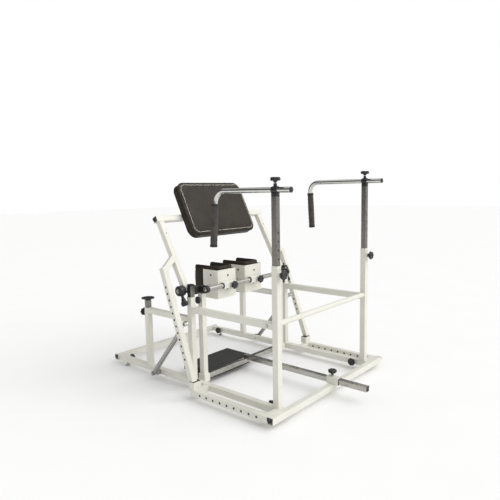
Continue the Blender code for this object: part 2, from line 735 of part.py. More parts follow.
def seat_arm(side):
    """Upper arm on the pivot, slanted connector, and the drilled lever outside the posts."""
    heel, tip = arm_point(-ARM_HEEL), arm_point(ARM_LENGTH - TUBE - GAP)
    root = arm_point(CONNECTOR_START)
    lever_reach = (LEVER_TOP_Z - LEVER_BOTTOM_Z) / math.cos(LEVER_TILT)
    lever_top = (LEVER_TOP_Y, LEVER_TOP_Z)
    connector_start = ARM_X + HALF - CONNECTOR_LAP
    lever_end = lever_point(lever_reach + TUBE)
    lever_head = lever_point(-HALF)
    solids = [
        bar(on_side(side, ARM_X, heel), on_side(side, ARM_X, tip)),
        bar(on_side(side, OUTER_TRACK, lever_head), on_side(side, OUTER_TRACK, lever_end)),
        bar(on_side(side, connector_start, root), on_side(side, OUTER_TRACK, lever_top)),
    ]
    below, above = arm_point(-TUBE), arm_point(ARM_LENGTH + TUBE)
    bore_top = lever_point(-HALF + WALL)
    cuts = [
        bar(on_side(side, ARM_X, below), on_side(side, ARM_X, above), BORE, 0),
        bar(on_side(side, OUTER_TRACK, bore_top), on_side(side, OUTER_TRACK, lever_end), BORE, 0),
        cross_rod(side, ARM_X - TUBE, ARM_X + TUBE, PIVOT_Y, PIVOT_Z, AXLE_RADIUS + RUNNING),
    ]
    cuts.append(
        side_block(
            side,
            (OUTER_TRACK - TUBE, lever_end[0] - TUBE, 0),
            (OUTER_TRACK + TUBE, lever_end[0] + 2 * TUBE, LEVER_BOTTOM_Z),
            0,
        )
    )
    for index in range(LEVER_HOLES):
        place = lever_point(FIRST_LEVER_HOLE + index * LEVER_PITCH)
        span = (OUTER_TRACK - TUBE, OUTER_TRACK + TUBE)
        cuts.append(cross_rod(side, *span, *place, HOLE_RADIUS, sides=SMALL_SIDES))
    piece(f"seat_arm_{SIDES[side]}", WHITE, solids, cuts, origin=(0, PIVOT_Y, PIVOT_Z))


def seat_crossbar():
    """The bar over the arms' top ends."""
    reach = ARM_X + HALF + SEAT_CROSSBAR_END
    place = arm_point(SEAT_CROSSBAR)
    solid = bar((-reach, *place), (reach, *place), roll=-ARM_TILT)
    bore = bar((-reach - LAP, *place), (reach + LAP, *place), BORE, 0, roll=-ARM_TILT)
    piece("seat_crossbar", WHITE, [solid], [bore], origin=(0, *place))


def cushion_form(name, look, size, corner, cells):
    """A closed pad with rounded corners, a crowned face and sides drawn in between the corners."""
    mesh = bmesh.new()
    bmesh.ops.create_cube(mesh, size=2)
    for axis, cuts in enumerate(cells):
        edges = [e for e in mesh.edges if abs((e.verts[0].co - e.verts[1].co)[axis]) > 1]
        bmesh.ops.subdivide_edges(mesh, edges=edges, cuts=cuts, use_grid_fill=True)
    half_x, half_y, half_z = (length / 2 for length in size)
    for vert in mesh.verts:
        u, v, w = vert.co
        along_u, along_v = half_x * u, half_y * v
        out_x = max(abs(along_u) - (half_x - corner), 0) / corner
        out_y = max(abs(along_v) - (half_y - corner), 0) / corner
        reach = max(out_x, out_y)
        shrink = reach / math.hypot(out_x, out_y) if reach else 1.0
        if out_x and out_y:
            along_u = math.copysign(half_x - corner + corner * out_x * shrink, u)
            along_v = math.copysign(half_y - corner + corner * out_y * shrink, v)
        along_u -= math.copysign(SEAT_DRAW * (1 - v * v) * abs(u) ** 4, u)
        along_v -= math.copysign(SEAT_DRAW * (1 - u * u) * abs(v) ** 4, v)
        edge = SEAT_EDGE_SHARE + (1 - SEAT_EDGE_SHARE) * min(1 - u**8, 1 - v**8)
        dome = 1 - SEAT_CROWN + SEAT_CROWN * (1 - u * u) * (1 - v * v)
        vert.co = (along_u, along_v, half_z * w * edge * dome)
    obj = helper(name, mesh)
    soften = obj.modifiers.new("soften", "SUBSURF")
    soften.levels = 1
    soften.render_levels = 1
    return adopt(obj, name, look)


def seat_pad():
    """The pad in front of the crossbar, more upright than the arms."""
    y, z = arm_point(SEAT_CROSSBAR, HALF + SEAT_CLEARANCE)
    rise, lift = SEAT_CENTRE - SEAT_CROSSBAR, SEAT_THICKNESS / 2
    y += rise * math.sin(SEAT_TILT) - lift * math.cos(SEAT_TILT)
    z += rise * math.cos(SEAT_TILT) + lift * math.sin(SEAT_TILT)
    size = (SEAT_WIDTH, SEAT_LENGTH, SEAT_THICKNESS)
    made = cushion_form("seat_pad", VINYL, size, SEAT_CORNER, SEAT_CELLS)
    made.location = (0, y, z)
    made.rotation_euler.x = math.pi / 2 - SEAT_TILT


# Struts


def strut(side):
    """A barrel hinged on the base and a rod that slides out of it towards the lever."""
    foot = Vector(on_side(side, STRUT_X, (STRUT_FOOT_Y, STRUT_FOOT_Z)))
    top = Vector(on_side(side, STRUT_X, STRUT_TOP))
    way = (top - foot).normalized()
    eye = (STRUT_X - STRUT_RADIUS, STRUT_X + STRUT_RADIUS)
    barrel_end = foot + BARREL_LENGTH * way
    chamber_start = foot + 2 * STRUT_RADIUS * way
    chamber_end = barrel_end - BARREL_NECK * way
    piston_radius = STRUT_RADIUS - WALL - RUNNING
    barrel = [
        rod(foot + BARREL_START * way, barrel_end, STRUT_RADIUS),
        cross_rod(side, *eye, STRUT_FOOT_Y, STRUT_FOOT_Z, STRUT_RADIUS),
    ]
    pin = (STRUT_FOOT_Y, STRUT_FOOT_Z, STRUT_PIN_RADIUS + GAP)
    rod_bore = (chamber_end - BARREL_NECK * way, barrel_end + BARREL_NECK * way)
    bores = [
        cross_rod(side, eye[0] - TUBE, eye[1] + TUBE, *pin, MEDIUM_SIDES),
        rod(chamber_start, chamber_end, STRUT_RADIUS - WALL, sides=MEDIUM_SIDES),
        rod(*rod_bore, ROD_RADIUS + RUNNING, sides=MEDIUM_SIDES),
    ]
    piece(f"strut_barrel_{SIDES[side]}", ALUMINIUM, barrel, bores, origin=foot)
    rod_start = barrel_end - ROD_INSIDE * way
    lever_face = OUTER_TRACK - HALF - LAP
    rod_parts = [
        rod(rod_start, top, ROD_RADIUS, sides=MEDIUM_SIDES),
        rod(rod_start, rod_start + PISTON_LENGTH * way, piston_radius, sides=MEDIUM_SIDES),
        cross_rod(side, *eye, *STRUT_TOP, STRUT_RADIUS),
        cross_rod(side, eye[0], lever_face, *STRUT_TOP, STRUT_PIN_RADIUS, MEDIUM_SIDES),
    ]
    piece(f"strut_rod_{SIDES[side]}", CHROME, rod_parts, origin=foot)


def stop_post(side):
    """Chrome stub in the rear post, carrying the round disc that the seat arm comes down on."""
    x = side * HALF_TRACK
    neck_z = REAR_POST_TOP + STOP_REACH
    disc_z = neck_z + DISC_HUB
    solids = [
        bar((x, REAR_POST_Y, neck_z - STOP_POST_LENGTH), (x, REAR_POST_Y, neck_z), INNER, INNER_CORNER),
        rod(
            (x, REAR_POST_Y, neck_z - LAP),
            (x, REAR_POST_Y, disc_z + LAP),
            DISC_NECK_RADIUS,
            DISC_FLARE_RADIUS,
        ),
        rod((x, REAR_POST_Y, disc_z), (x, REAR_POST_Y, disc_z + DISC_THICKNESS), DISC_RADIUS),
    ]
    bore_end = neck_z - 2 * WALL
    cuts = [bar((x, REAR_POST_Y, 0), (x, REAR_POST_Y, bore_end), INNER - 2 * WALL, 0)]
    piece(f"stop_post_{SIDES[side]}", CHROME, solids, cuts, origin=(x, REAR_POST_Y, disc_z))


# Handles


def handle_post(side):
    """Chrome tube in the front post, with the clamp that holds the handle bar."""
    x = side * HALF_TRACK
    z = HANDLE_Z[side]
    half = HANDLE_CLAMP_LENGTH / 2
    collar_bottom = z - HANDLE_CLAMP_RADIUS - HANDLE_COLLAR_HEIGHT
    collar_size = HANDLE_COLLAR / 2
    solids = [
        bar((x, POST_Y, z - HANDLE_POST_LENGTH), (x, POST_Y, z - ROUND_BAR - RUNNING), INNER, INNER_CORNER),
        block(
            (x - collar_size, POST_Y - collar_size, collar_bottom),
            (x + collar_size, POST_Y + collar_size, z - ROUND_BAR),
            ROUND_EDGE,
        ),
        rod((x, POST_Y - half, z), (x, POST_Y + half, z), HANDLE_CLAMP_RADIUS),
        rod((x, POST_Y, z), (x, POST_Y, z + HANDLE_BOSS_TOP), HANDLE_BOSS_RADIUS, sides=SMALL_SIDES),
    ]
    bore_top = collar_bottom - LAP
    cuts = [
        bar((x, POST_Y, 0), (x, POST_Y, bore_top), INNER - 2 * WALL, 0),
        rod((x, POST_Y - TUBE, z), (x, POST_Y + TUBE, z), ROUND_BAR + RUNNING),
        rod((x, POST_Y, z), (x, POST_Y, z + TUBE), STUD_HOLE, sides=SMALL_SIDES),
    ]
    piece(f"handle_post_{SIDES[side]}", CHROME, solids, cuts, origin=(x, POST_Y, POST_TOP))


def splayed(side, y, drop):
    """A point at a drop below a handle's straight part, in the plane that leans outward with the grip."""
    x = HALF_TRACK + drop * math.sin(HANDLE_SPLAY)
    return side * x, y, HANDLE_Z[side] - drop * math.cos(HANDLE_SPLAY)


def handle_bar(side):
    """Round tube: straight over the post, then bent down into the grip."""
    x, z = side * HALF_TRACK, HANDLE_Z[side]
    front = HANDLE_FRONT_Y[side]
    bend_start = HANDLE_BACK_Y - HANDLE_BEND
    corner = arc((bend_start, HANDLE_BEND), HANDLE_BEND, -math.pi / 2, 0, 8)
    tail = (HANDLE_BACK_Y, HANDLE_BEND + GRIP_START + GRIP_LENGTH - GRIP_END)
    points = [splayed(side, *place) for place in ((front, 0), *corner, tail)]
    solid = swept("handle", points, ROUND_BAR, smooth=4)
    bore = rod((x, front - LAP, z), (x, bend_start, z), ROUND_BAR - HANDLE_TUBE_WALL)
    piece(f"handle_bar_{SIDES[side]}", CHROME, [solid], [bore], origin=(x, POST_Y, z))


def hand_grip(side):
    """A sleeve over the handle's lower end, closed at the bottom."""
    start = HANDLE_BEND + GRIP_START
    end = start + GRIP_LENGTH
    top, bottom = (splayed(side, HANDLE_BACK_Y, drop) for drop in (start + GRIP_GAP, end))
    solid = rod(bottom, top, GRIP_RADIUS)
    edge = solid.modifiers.new("edge", "BEVEL")
    edge.width = SOFT_EDGE
    edge.segments = 1
    edge.limit_method = "ANGLE"
    bore_ends = (splayed(side, HANDLE_BACK_Y, drop) for drop in (end - GRIP_END + GAP, start - TUBE))
    bore = rod(*bore_ends, ROUND_BAR + GAP)
    piece(f"hand_grip_{SIDES[side]}", RUBBER, [solid], [bore], origin=top)


# Carriage


def slide_tube():
    """The tube that runs through the front sleeve, and the cross tube at its rear end."""
    reach = KNEE_POST_X - FOOT_BLOCK_WIDTH / 2 - GAP
    y = CARRIAGE_Y
    solids = [
        bar((0, SLIDE_FRONT_Y, SLIDE_Z), (0, y, SLIDE_Z), INNER, INNER_CORNER),
        bar((-reach, y, CROSS_Z), (reach, y, CROSS_Z), INNER, INNER_CORNER),
    ]
    inside = INNER - 2 * WALL
    cuts = [
        bar((0, SLIDE_FRONT_Y - TUBE, SLIDE_Z), (0, y - HALF_INNER - LAP, SLIDE_Z), inside, 0),
        bar((-reach - TUBE, y, CROSS_Z), (reach + TUBE, y, CROSS_Z), inside, 0),
    ]
    piece("slide_tube", CHROME, solids, cuts)


def knee_post(side):
    x, y = side * KNEE_POST_X, CARRIAGE_Y
    half_x, half_y = FOOT_BLOCK_WIDTH / 2, FOOT_BLOCK_LENGTH / 2
    solids = [
        bar((x, y, FOOT_BLOCK_HEIGHT / 2), (x, y, KNEE_POST_TOP)),
        block((x - half_x, y - half_y, 0), (x + half_x, y + half_y, FOOT_BLOCK_HEIGHT), SOFT_EDGE),
        rod((x, y, GLIDE_CLEARANCE - FOOT_HEIGHT), (x, y, LAP), FOOT_RADIUS),
    ]
    outward = HALF + LAP
    cuts = [
        bar((x, y, FOOT_BLOCK_HEIGHT + LAP), (x, y, KNEE_POST_TOP + TUBE), BORE, 0),
        rod((x, y, KNEE_KNOB_Z), (x + side * outward, y, KNEE_KNOB_Z), STUD_HOLE, sides=SMALL_SIDES),
    ]
    piece(f"knee_post_{SIDES[side]}", WHITE, solids, cuts)


def foot_plate():
    """A plate behind the cross tube, its front lip under that tube, on two rear glides."""
    front = CARRIAGE_Y + HALF_INNER + PLATE_GAP
    bottom = PLATE_TOP - PLATE_THICKNESS
    lip_top = CROSS_Z - HALF_INNER - GAP
    back = front + PLATE_LENGTH
    solids = [
        block((PLATE_RIGHT, front, bottom), (PLATE_LEFT, back, PLATE_TOP), SOFT_EDGE),
        block(
            (PLATE_RIGHT + TUBE, front - PLATE_LIP, lip_top - LIP_THICKNESS),
            (PLATE_LEFT - TUBE, front + PLATE_LIP, lip_top),
        ),
    ]
    y = back - 2 * TUBE
    for x in (PLATE_RIGHT + 2 * TUBE, PLATE_LEFT - 2 * TUBE):
        solids.append(rod((x, y, GLIDE_CLEARANCE - FOOT_HEIGHT), (x, y, bottom + LAP), FOOT_RADIUS))
    piece("foot_plate", RUBBER, solids)


# Knee rest


def knee_clamp(side):
    """Chrome stub in the knee post, with the clamp that holds the knee bar in front of it."""
    x, y = side * KNEE_POST_X, CARRIAGE_Y
    bridge_top = KNEE_BAR_Z + BRIDGE_RISE
    bridge_bottom = KNEE_POST_TOP + BRIDGE_GAP
    stub_top = bridge_top - LAP
    barrel = (KNEE_CLAMP_INNER, KNEE_CLAMP_OUTER, KNEE_BAR_Y, KNEE_BAR_Z)
    bore = (KNEE_CLAMP_INNER - TUBE, KNEE_CLAMP_OUTER + TUBE, KNEE_BAR_Y, KNEE_BAR_Z)
    solids = [
        bar((x, y, stub_top - KNEE_STUB_LENGTH), (x, y, stub_top), INNER, INNER_CORNER),
        side_block(
            side,
            (KNEE_CLAMP_INNER + LAP, KNEE_BAR_Y + BRIDGE_MARGIN, bridge_bottom),
            (KNEE_CLAMP_OUTER - LAP, y + HALF_INNER + BRIDGE_MARGIN, bridge_top),
            ROUND_EDGE,
        ),
        cross_rod(side, *barrel, KNEE_CLAMP_RADIUS),
    ]
    cuts = [
        cross_rod(side, *bore, ROUND_BAR + GAP),
        bar((x, y, 0), (x, y, bridge_bottom - LAP), INNER - 2 * WALL, 0),
    ]
    piece(f"knee_clamp_{SIDES[side]}", BLACK, solids, cuts, origin=(x, y, KNEE_POST_TOP))


def knee_bar():
    place = (KNEE_BAR_Y, KNEE_BAR_Z)
    reach = KNEE_BAR_HALF + TUBE
    solid = rod((-KNEE_BAR_HALF, *place), (KNEE_BAR_HALF, *place), ROUND_BAR)
    bore = rod((-reach, *place), (reach, *place), ROUND_BAR - WALL)
    piece("knee_bar", CHROME, [solid], [bore], origin=(0, *place))


def knee_plate(side):
    """A plate bent round the cushion, welded to the sleeve that slides on the knee bar."""
    x = KNEE_PAD_X[side]
    half = KNEE_PLATE_WIDTH / 2
    back = KNEE_PLATE_FRONT + KNEE_PLATE_DEPTH
    middle = (KNEE_PLATE_FRONT + back) / 2
    outer = bar(
        (x, middle, KNEE_PLATE_BOTTOM),
        (x, middle, KNEE_PLATE_TOP),
        (KNEE_PLATE_WIDTH, KNEE_PLATE_DEPTH),
        KNEE_PLATE_CORNER,
    )
    inner_half = half - KNEE_PLATE_THICKNESS
    inside = block(
        (x - inner_half, KNEE_PLATE_FRONT + KNEE_PLATE_THICKNESS, KNEE_PLATE_BOTTOM - TUBE),
        (x + inner_half, back + TUBE, KNEE_PLATE_TOP + TUBE),
        ROUND_EDGE,
    )
    slider_front = KNEE_BAR_Y - SLIDER / 2
    slider = block(
        (x - SLIDER_LEFT, slider_front, KNEE_BAR_Z - SLIDER / 2),
        (x + SLIDER_RIGHT, KNEE_PLATE_FRONT + LAP, KNEE_BAR_Z + SLIDER / 2),
        SOFT_EDGE,
    )
    place = (KNEE_BAR_Y, KNEE_BAR_Z)
    bore = rod((x - half, *place), (x + half, *place), ROUND_BAR + RUNNING)
    knob_x = x + KNEE_KNOB_X
    hole_start = (knob_x, slider_front - LAP, KNEE_BAR_Z)
    stud_hole = rod(hole_start, (knob_x, *place), STUD_HOLE, sides=SMALL_SIDES)
    origin = (x, KNEE_BAR_Y, KNEE_BAR_Z)
    piece(f"knee_plate_{SIDES[side]}", WHITE, [outer, slider], [inside, bore, stud_hole], origin=origin)


def rounded_profile(name, width, height, power=4.0, steps=16):
    """A closed outline between a rectangle and an ellipse."""
    curve = bpy.data.curves.new(name, "CURVE")
    curve.dimensions = "2D"
    line = curve.splines.new("POLY")
    line.points.add(steps - 1)
    line.use_cyclic_u = True
    for step in range(steps):
        angle = 2 * math.pi * step / steps
        c, s = math.cos(angle), math.sin(angle)
        x = math.copysign(abs(c) ** (2 / power), c) * width / 2
        y = math.copysign(abs(s) ** (2 / power), s) * height / 2
        line.points[step].co = (x, y, 0, 1)
    obj = bpy.data.objects.new(name, curve)
    obj.hide_render = True
    CUTTERS.objects.link(obj)
    return obj


def knee_cushion(side):
    """A padded trough that lines the plate and stands out behind its wings."""
    x = KNEE_PAD_X[side]
    half_thick = CUSHION_THICKNESS / 2
    half = KNEE_PLATE_WIDTH / 2 - KNEE_PLATE_THICKNESS - 2 * GAP - half_thick
    front = KNEE_PLATE_FRONT + KNEE_PLATE_THICKNESS + 2 * GAP + half_thick
    middle_z = (CUSHION_BOTTOM + CUSHION_TOP) / 2
    back = CUSHION_BACK - CUSHION_NOSE
    left = arc((x - half + CUSHION_BEND, front + CUSHION_BEND), CUSHION_BEND, math.pi, 1.5 * math.pi, 4)
    right = arc((x + half - CUSHION_BEND, front + CUSHION_BEND), CUSHION_BEND, 1.5 * math.pi, 2 * math.pi, 4)
    wing_left = [(x - half, back - reach) for reach, _ in CUSHION_TAPER]
    wing_right = [(x + half, y) for _, y in reversed(wing_left)]
    line = [*wing_left, *left, *right, *wing_right]
    fullness = [share for _, share in CUSHION_TAPER]
    scales = [*fullness, *[1.0] * (len(left) + len(right)), *reversed(fullness)]
    profile = rounded_profile("cushion_section", CUSHION_THICKNESS, CUSHION_TOP - CUSHION_BOTTOM)
    obj = swept("cushion", [(px, py, middle_z) for px, py in line], profile=profile, scales=scales)
    bpy.data.objects.remove(profile)
    piece(f"knee_cushion_{SIDES[side]}", VINYL, [obj], origin=(x, KNEE_BAR_Y, KNEE_BAR_Z))


def knobs():
    large = knob_mesh(*BOSS_KNOB, KNOB_WALL + BOSS_DEPTH)
    base = knob_mesh(*BASE_KNOB, KNOB_WALL)
    sleeve = knob_mesh(*SLEEVE_KNOB, SLEEVE_TOP - SLIDE_Z - HALF_INNER - GAP)
    handle = knob_mesh(*HANDLE_KNOB, HANDLE_BOSS_TOP - ROUND_BAR - GAP)
    pad = knob_mesh(*PAD_KNOB, SLIDER / 2 - ROUND_BAR - GAP)
    for side, name in SIDES.items():
        x = side * HALF_TRACK
        face = side * (HALF_TRACK - HALF)
        knob(f"front_crossbar_knob_{name}", base, (face, FRONT_KNOB_Y, RAIL_Z), (-side, 0, 0))
        knob(f"rear_crossbar_knob_{name}", base, (face, REAR_KNOB_Y, RAIL_Z), (-side, 0, 0))
        knob(f"front_post_knob_{name}", large, (x, POST_Y - HALF - BOSS_DEPTH, POST_KNOB_Z), (0, -1, 0))
        knob(f"stop_post_knob_{name}", large, (x, REAR_POST_Y + HALF + BOSS_DEPTH, STOP_KNOB_Z), (0, 1, 0))
        knob(f"handle_knob_{name}", handle, (x, POST_Y, HANDLE_Z[side] + HANDLE_BOSS_TOP), (0, 0, 1))
        outer_face = side * (KNEE_POST_X + HALF)
        knob(f"knee_post_knob_{name}", base, (outer_face, CARRIAGE_Y, KNEE_KNOB_Z), (side, 0, 0))
        pad_x = KNEE_PAD_X[side] + KNEE_KNOB_X
        knob(f"knee_pad_knob_{name}", pad, (pad_x, KNEE_BAR_Y - SLIDER / 2, KNEE_BAR_Z), (0, -1, 0))
    knob("slide_knob", sleeve, (0, SLEEVE_LENGTH / 2, SLEEVE_TOP), (0, 0, 1))


def build():
    for side in SIDES:
        base_rail(side)
        front_post(side)
        upper_side_rail(side)
        rear_bay(side)
        levelling_foot(side, "front", FRONT_FOOT_Y)
        levelling_foot(side, "rear", BASE_LENGTH - REAR_FOOT_SETBACK)
        pivot_head(side)
        seat_arm(side)
        strut(side)
        stop_post(side)
        handle_post(side)
        handle_bar(side)
        hand_grip(side)
        knee_post(side)
        knee_clamp(side)
        knee_plate(side)
        knee_cushion(side)
    upper_crossbar()
    crossbar("front_crossbar", HALF, 1, OUTER_TRACK + HALF, sleeve=True)
    crossbar("rear_crossbar", BASE_LENGTH - HALF, -1, HALF_TRACK + REAR_CROSSBAR_END)
    seat_crossbar()
    seat_pad()
    slide_tube()
    foot_plate()
    knee_bar()
    knobs()


build()
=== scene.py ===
"""Looks of the sit-to-stand frame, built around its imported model.

Metres, +Z up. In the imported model's frame the floor is at Z = 0 and the middle of the frame at
X = Y = 0. The user stands facing -Y, so the user's right is -X. Places below are counted as on the
chassis, with Y = 0 at the front face of the base and Z = 0 under its tubes, and place() turns them
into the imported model's frame.
"""

import json
import math

import bmesh
import bpy
from mathutils import Matrix, Vector

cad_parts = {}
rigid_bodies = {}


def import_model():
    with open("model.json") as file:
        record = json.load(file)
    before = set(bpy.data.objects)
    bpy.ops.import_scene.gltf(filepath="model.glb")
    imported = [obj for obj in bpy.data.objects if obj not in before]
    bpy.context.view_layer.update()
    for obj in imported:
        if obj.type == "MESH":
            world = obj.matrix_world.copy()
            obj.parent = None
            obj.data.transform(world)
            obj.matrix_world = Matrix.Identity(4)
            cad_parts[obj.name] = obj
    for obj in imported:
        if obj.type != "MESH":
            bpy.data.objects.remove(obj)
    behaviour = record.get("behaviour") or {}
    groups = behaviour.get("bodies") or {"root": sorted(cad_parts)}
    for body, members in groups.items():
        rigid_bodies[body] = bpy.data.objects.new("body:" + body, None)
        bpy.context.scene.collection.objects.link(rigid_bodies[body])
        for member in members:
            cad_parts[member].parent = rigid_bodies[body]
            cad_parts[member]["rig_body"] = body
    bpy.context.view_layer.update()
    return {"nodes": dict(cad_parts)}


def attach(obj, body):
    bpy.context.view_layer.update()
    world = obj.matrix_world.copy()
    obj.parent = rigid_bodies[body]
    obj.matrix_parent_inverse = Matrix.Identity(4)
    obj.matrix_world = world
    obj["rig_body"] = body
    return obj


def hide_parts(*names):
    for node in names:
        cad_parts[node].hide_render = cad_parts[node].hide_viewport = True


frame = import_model()
NODES = frame["nodes"]
SIDES = {-1: "right", 1: "left"}
CHASSIS = Vector((0, -0.616, 0.028))

# Places on the chassis: X is counted from the middle, and pairs are (Y, Z)
FAR = 3.0  # beyond any piece
FARTHEST = (FAR, FAR, FAR)
TRACK = 0.4425  # X of the side rails and their posts
OUTER_TRACK = 0.5475  # X of the outer rails and the drilled levers
BETWEEN_TRACKS = 0.52
ARM_X = 0.4475
RAIL_Z = 0.0175
HOLLOW = 0.0157  # half the width of a tube's inside, and a little over
PIVOT = (0.720, 0.556)
LEVER_TOP = (0.786, 0.674)
LEVER_TILT = math.radians(19.7)  # from the vertical, rearward
LEVER_START = -0.0155  # of the hollow, down the lever from its top
STRUT_X = 0.500
STRUT_FOOT = (0.977, RAIL_Z)
SQUARE_TO_STRUT = (0.765198, 0.643795)
GROOVES = 8.0  # round a strut's barrel
KNEE_BAR = (0.620, 0.560)
SLIDE_Z = 0.053
HANDLE_Z = {-1: 1.115, 1: 1.160}
HANDLE_FRONT = {-1: -0.028, 1: -0.046}


def place(x, y, z):
    """A place on the chassis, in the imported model's frame."""
    return Vector((x, y, z)) + CHASSIS


# Nodes of a material


def feed(tree, socket, value):
    """Links a socket, or puts a number or colour in."""
    if isinstance(value, bpy.types.NodeSocket):
        tree.links.new(value, socket)
    elif isinstance(value, tuple) and len(value) == 3 and len(socket.default_value) == 4:
        socket.default_value = (*value, 1.0)
    else:
        socket.default_value = value


def node(tree, kind, inputs=(), output=0, **settings):
    """A shader node with its inputs fed by name or number, and one of its outputs."""
    made = tree.nodes.new(kind)
    for name, value in settings.items():
        setattr(made, name, value)
    for key, value in dict(inputs).items():
        feed(tree, made.inputs[key], value)
    return made.outputs[output]


def math_node(tree, operation, first, second=0.0):
    return node(tree, "ShaderNodeMath", {0: first, 1: second}, operation=operation)


def minus(tree, first, second):
    return math_node(tree, "SUBTRACT", first, second)


def times(tree, first, second):
    return math_node(tree, "MULTIPLY", first, second)


def split(tree, where):
    """The X, Y and Z of a place or a direction."""
    made = tree.nodes.new("ShaderNodeSeparateXYZ")
    feed(tree, made.inputs[0], where)
    return tuple(made.outputs)


def noise(tree, where, scale, detail, roughness=0.5, distortion=0.0):
    inputs = {"Vector": where, "Scale": scale, "Detail": detail}
    inputs.update({"Roughness": roughness, "Distortion": distortion})
    return node(tree, "ShaderNodeTexNoise", inputs)


def spread(tree, value, low, high, start=0.3, end=0.7):
    """A value between two numbers, from a pattern between two others."""
    inputs = {"Value": value, "From Min": start, "From Max": end, "To Min": low, "To Max": high}
    return node(tree, "ShaderNodeMapRange", inputs)


def blend_colour(tree, share, first, second):
    inputs = {0: share, 6: first, 7: second}
    return node(tree, "ShaderNodeMix", inputs, output=2, data_type="RGBA")


def blend_number(tree, share, first, second):
    return node(tree, "ShaderNodeMix", {0: share, 2: first, 3: second}, data_type="FLOAT")


def tones(tree, pattern, dark, light):
    """A colour between two, by a pattern of noise."""
    return blend_colour(tree, spread(tree, pattern, 0.0, 1.0), dark, light)


# Finishes: each gives a surface's colour, roughness, metalness and relief in metres, from the
# place on the object


def finish(dark, light, tone, roughness, relief, metallic=0.0, gloss=None, grain=None):
    """A finish of three patterns of noise, each given as (scale, detail, roughness): the tone is
    between the dark and the light colour, the gloss spreads the roughness between two numbers, and
    the grain is raised by the relief. The gloss and the grain follow the tone if they aren't given.
    """

    def surface(tree, where):
        toned = noise(tree, where, *tone)
        glossed = noise(tree, where, *gloss) if gloss else toned
        grained = noise(tree, where, *grain) if grain else toned
        raised = spread(tree, grained, 0.0, relief)
        return tones(tree, toned, dark, light), spread(tree, glossed, *roughness), metallic, raised

    return surface


# Cream baked powder paint: faint orange peel, a little uneven in tone
powder_coat = finish(
    (0.69, 0.68, 0.605),
    (0.74, 0.73, 0.66),
    tone=(7.0, 3.0),
    roughness=(0.30, 0.42),
    relief=0.00006,
    gloss=(38.0, 4.0, 0.6),
    grain=(420.0, 1.0),
)
# Bright plated tube with a drawn grain and faint rubbed patches
chrome = finish(
    (0.58, 0.58, 0.56),
    (0.68, 0.68, 0.66),
    tone=(24.0, 4.0, 0.65),
    roughness=(0.13, 0.24),
    relief=0.0000015,
    metallic=1.0,
    grain=(900.0, 1.0),
)
# Chrome with a painted dark reflection: its colour is made dark to stand for the dark side of the
# room that the square telescoping tube's flat faces mirror
painted_dark_reflection_chrome = finish(
    (0.19, 0.18, 0.165),
    (0.26, 0.25, 0.23),
    tone=(20.0, 4.0, 0.65),
    roughness=(0.22, 0.34),
    relief=0.000002,
    metallic=1.0,
    grain=(700.0, 1.0),
)
# Rougher chrome on the knee bar and the slide tube, its colour made darker to paint their dimmer
# reflection
satin_dim_reflection_chrome = finish(
    (0.40, 0.39, 0.36),
    (0.50, 0.49, 0.46),
    tone=(16.0, 4.0, 0.65),
    roughness=(0.20, 0.32),
    relief=0.000002,
    metallic=1.0,
    grain=(800.0, 1.0),
)
# Plated steel fasteners and pins
zinc = finish(
    (0.42, 0.42, 0.41),
    (0.55, 0.55, 0.53),
    tone=(260.0, 2.0),
    roughness=(0.24, 0.36),
    relief=0.00001,
    metallic=1.0,
)
# Drawn aluminium with a dull grain
aluminium = finish(
    (0.36, 0.36, 0.35),
    (0.46, 0.46, 0.45),
    tone=(340.0, 3.0),
    roughness=(0.18, 0.28),
    relief=0.000006,
    metallic=1.0,
)
# Moulded nylon with a fine spark-eroded texture
black_plastic = finish(
    (0.012, 0.012, 0.013),
    (0.022, 0.022, 0.023),
    tone=(46.0, 4.0),
    roughness=(0.36, 0.50),
    relief=0.00005,
    grain=(1300.0, 1.0),
)
# Dusty moulded rubber
black_rubber = finish(
    (0.013, 0.013, 0.013),
    (0.036, 0.034, 0.032),
    tone=(30.0, 5.0, 0.6),
    roughness=(0.62, 0.82),
    relief=0.00008,
    grain=(800.0, 2.0),
)
# Soft grip rubber, brown-grey and open-grained
foam_grip = finish(
    (0.040, 0.034, 0.031),
    (0.072, 0.063, 0.058),
    tone=(40.0, 4.0),
    roughness=(0.66, 0.86),
    relief=0.00016,
    gloss=(650.0, 3.0, 0.7),
    grain=(650.0, 3.0, 0.7),
)
# Pale stitching thread, whose pale colour also paints the highlight along the seat pad's front edge
thread_and_highlight = finish(
    (0.62, 0.60, 0.52),
    (0.80, 0.78, 0.70),
    tone=(420.0, 2.0),
    roughness=(0.5, 0.7),
    relief=0.0003,
)


def vinyl(tree, where):
    """Upholstery vinyl: pebbled grain, broad creases, brown-black and a little glossy."""
    inputs = {"Vector": where, "Scale": 620.0}
    cells = node(tree, "ShaderNodeTexVoronoi", inputs, feature="DISTANCE_TO_EDGE")
    pebble = spread(tree, cells, 0.0, 0.00009, 0.0, 0.35)
    crease = spread(tree, noise(tree, where, 34.0, 3.0, 0.55, 0.6), 0.0, 0.0006)
    tone = noise(tree, where, 11.0, 4.0, 0.6)
    colour = tones(tree, tone, (0.019, 0.0145, 0.0095), (0.032, 0.025, 0.016))
    roughness = spread(tree, noise(tree, where, 60.0, 3.0), 0.34, 0.50)
    return colour, roughness, 0.0, math_node(tree, "ADD", pebble, crease)


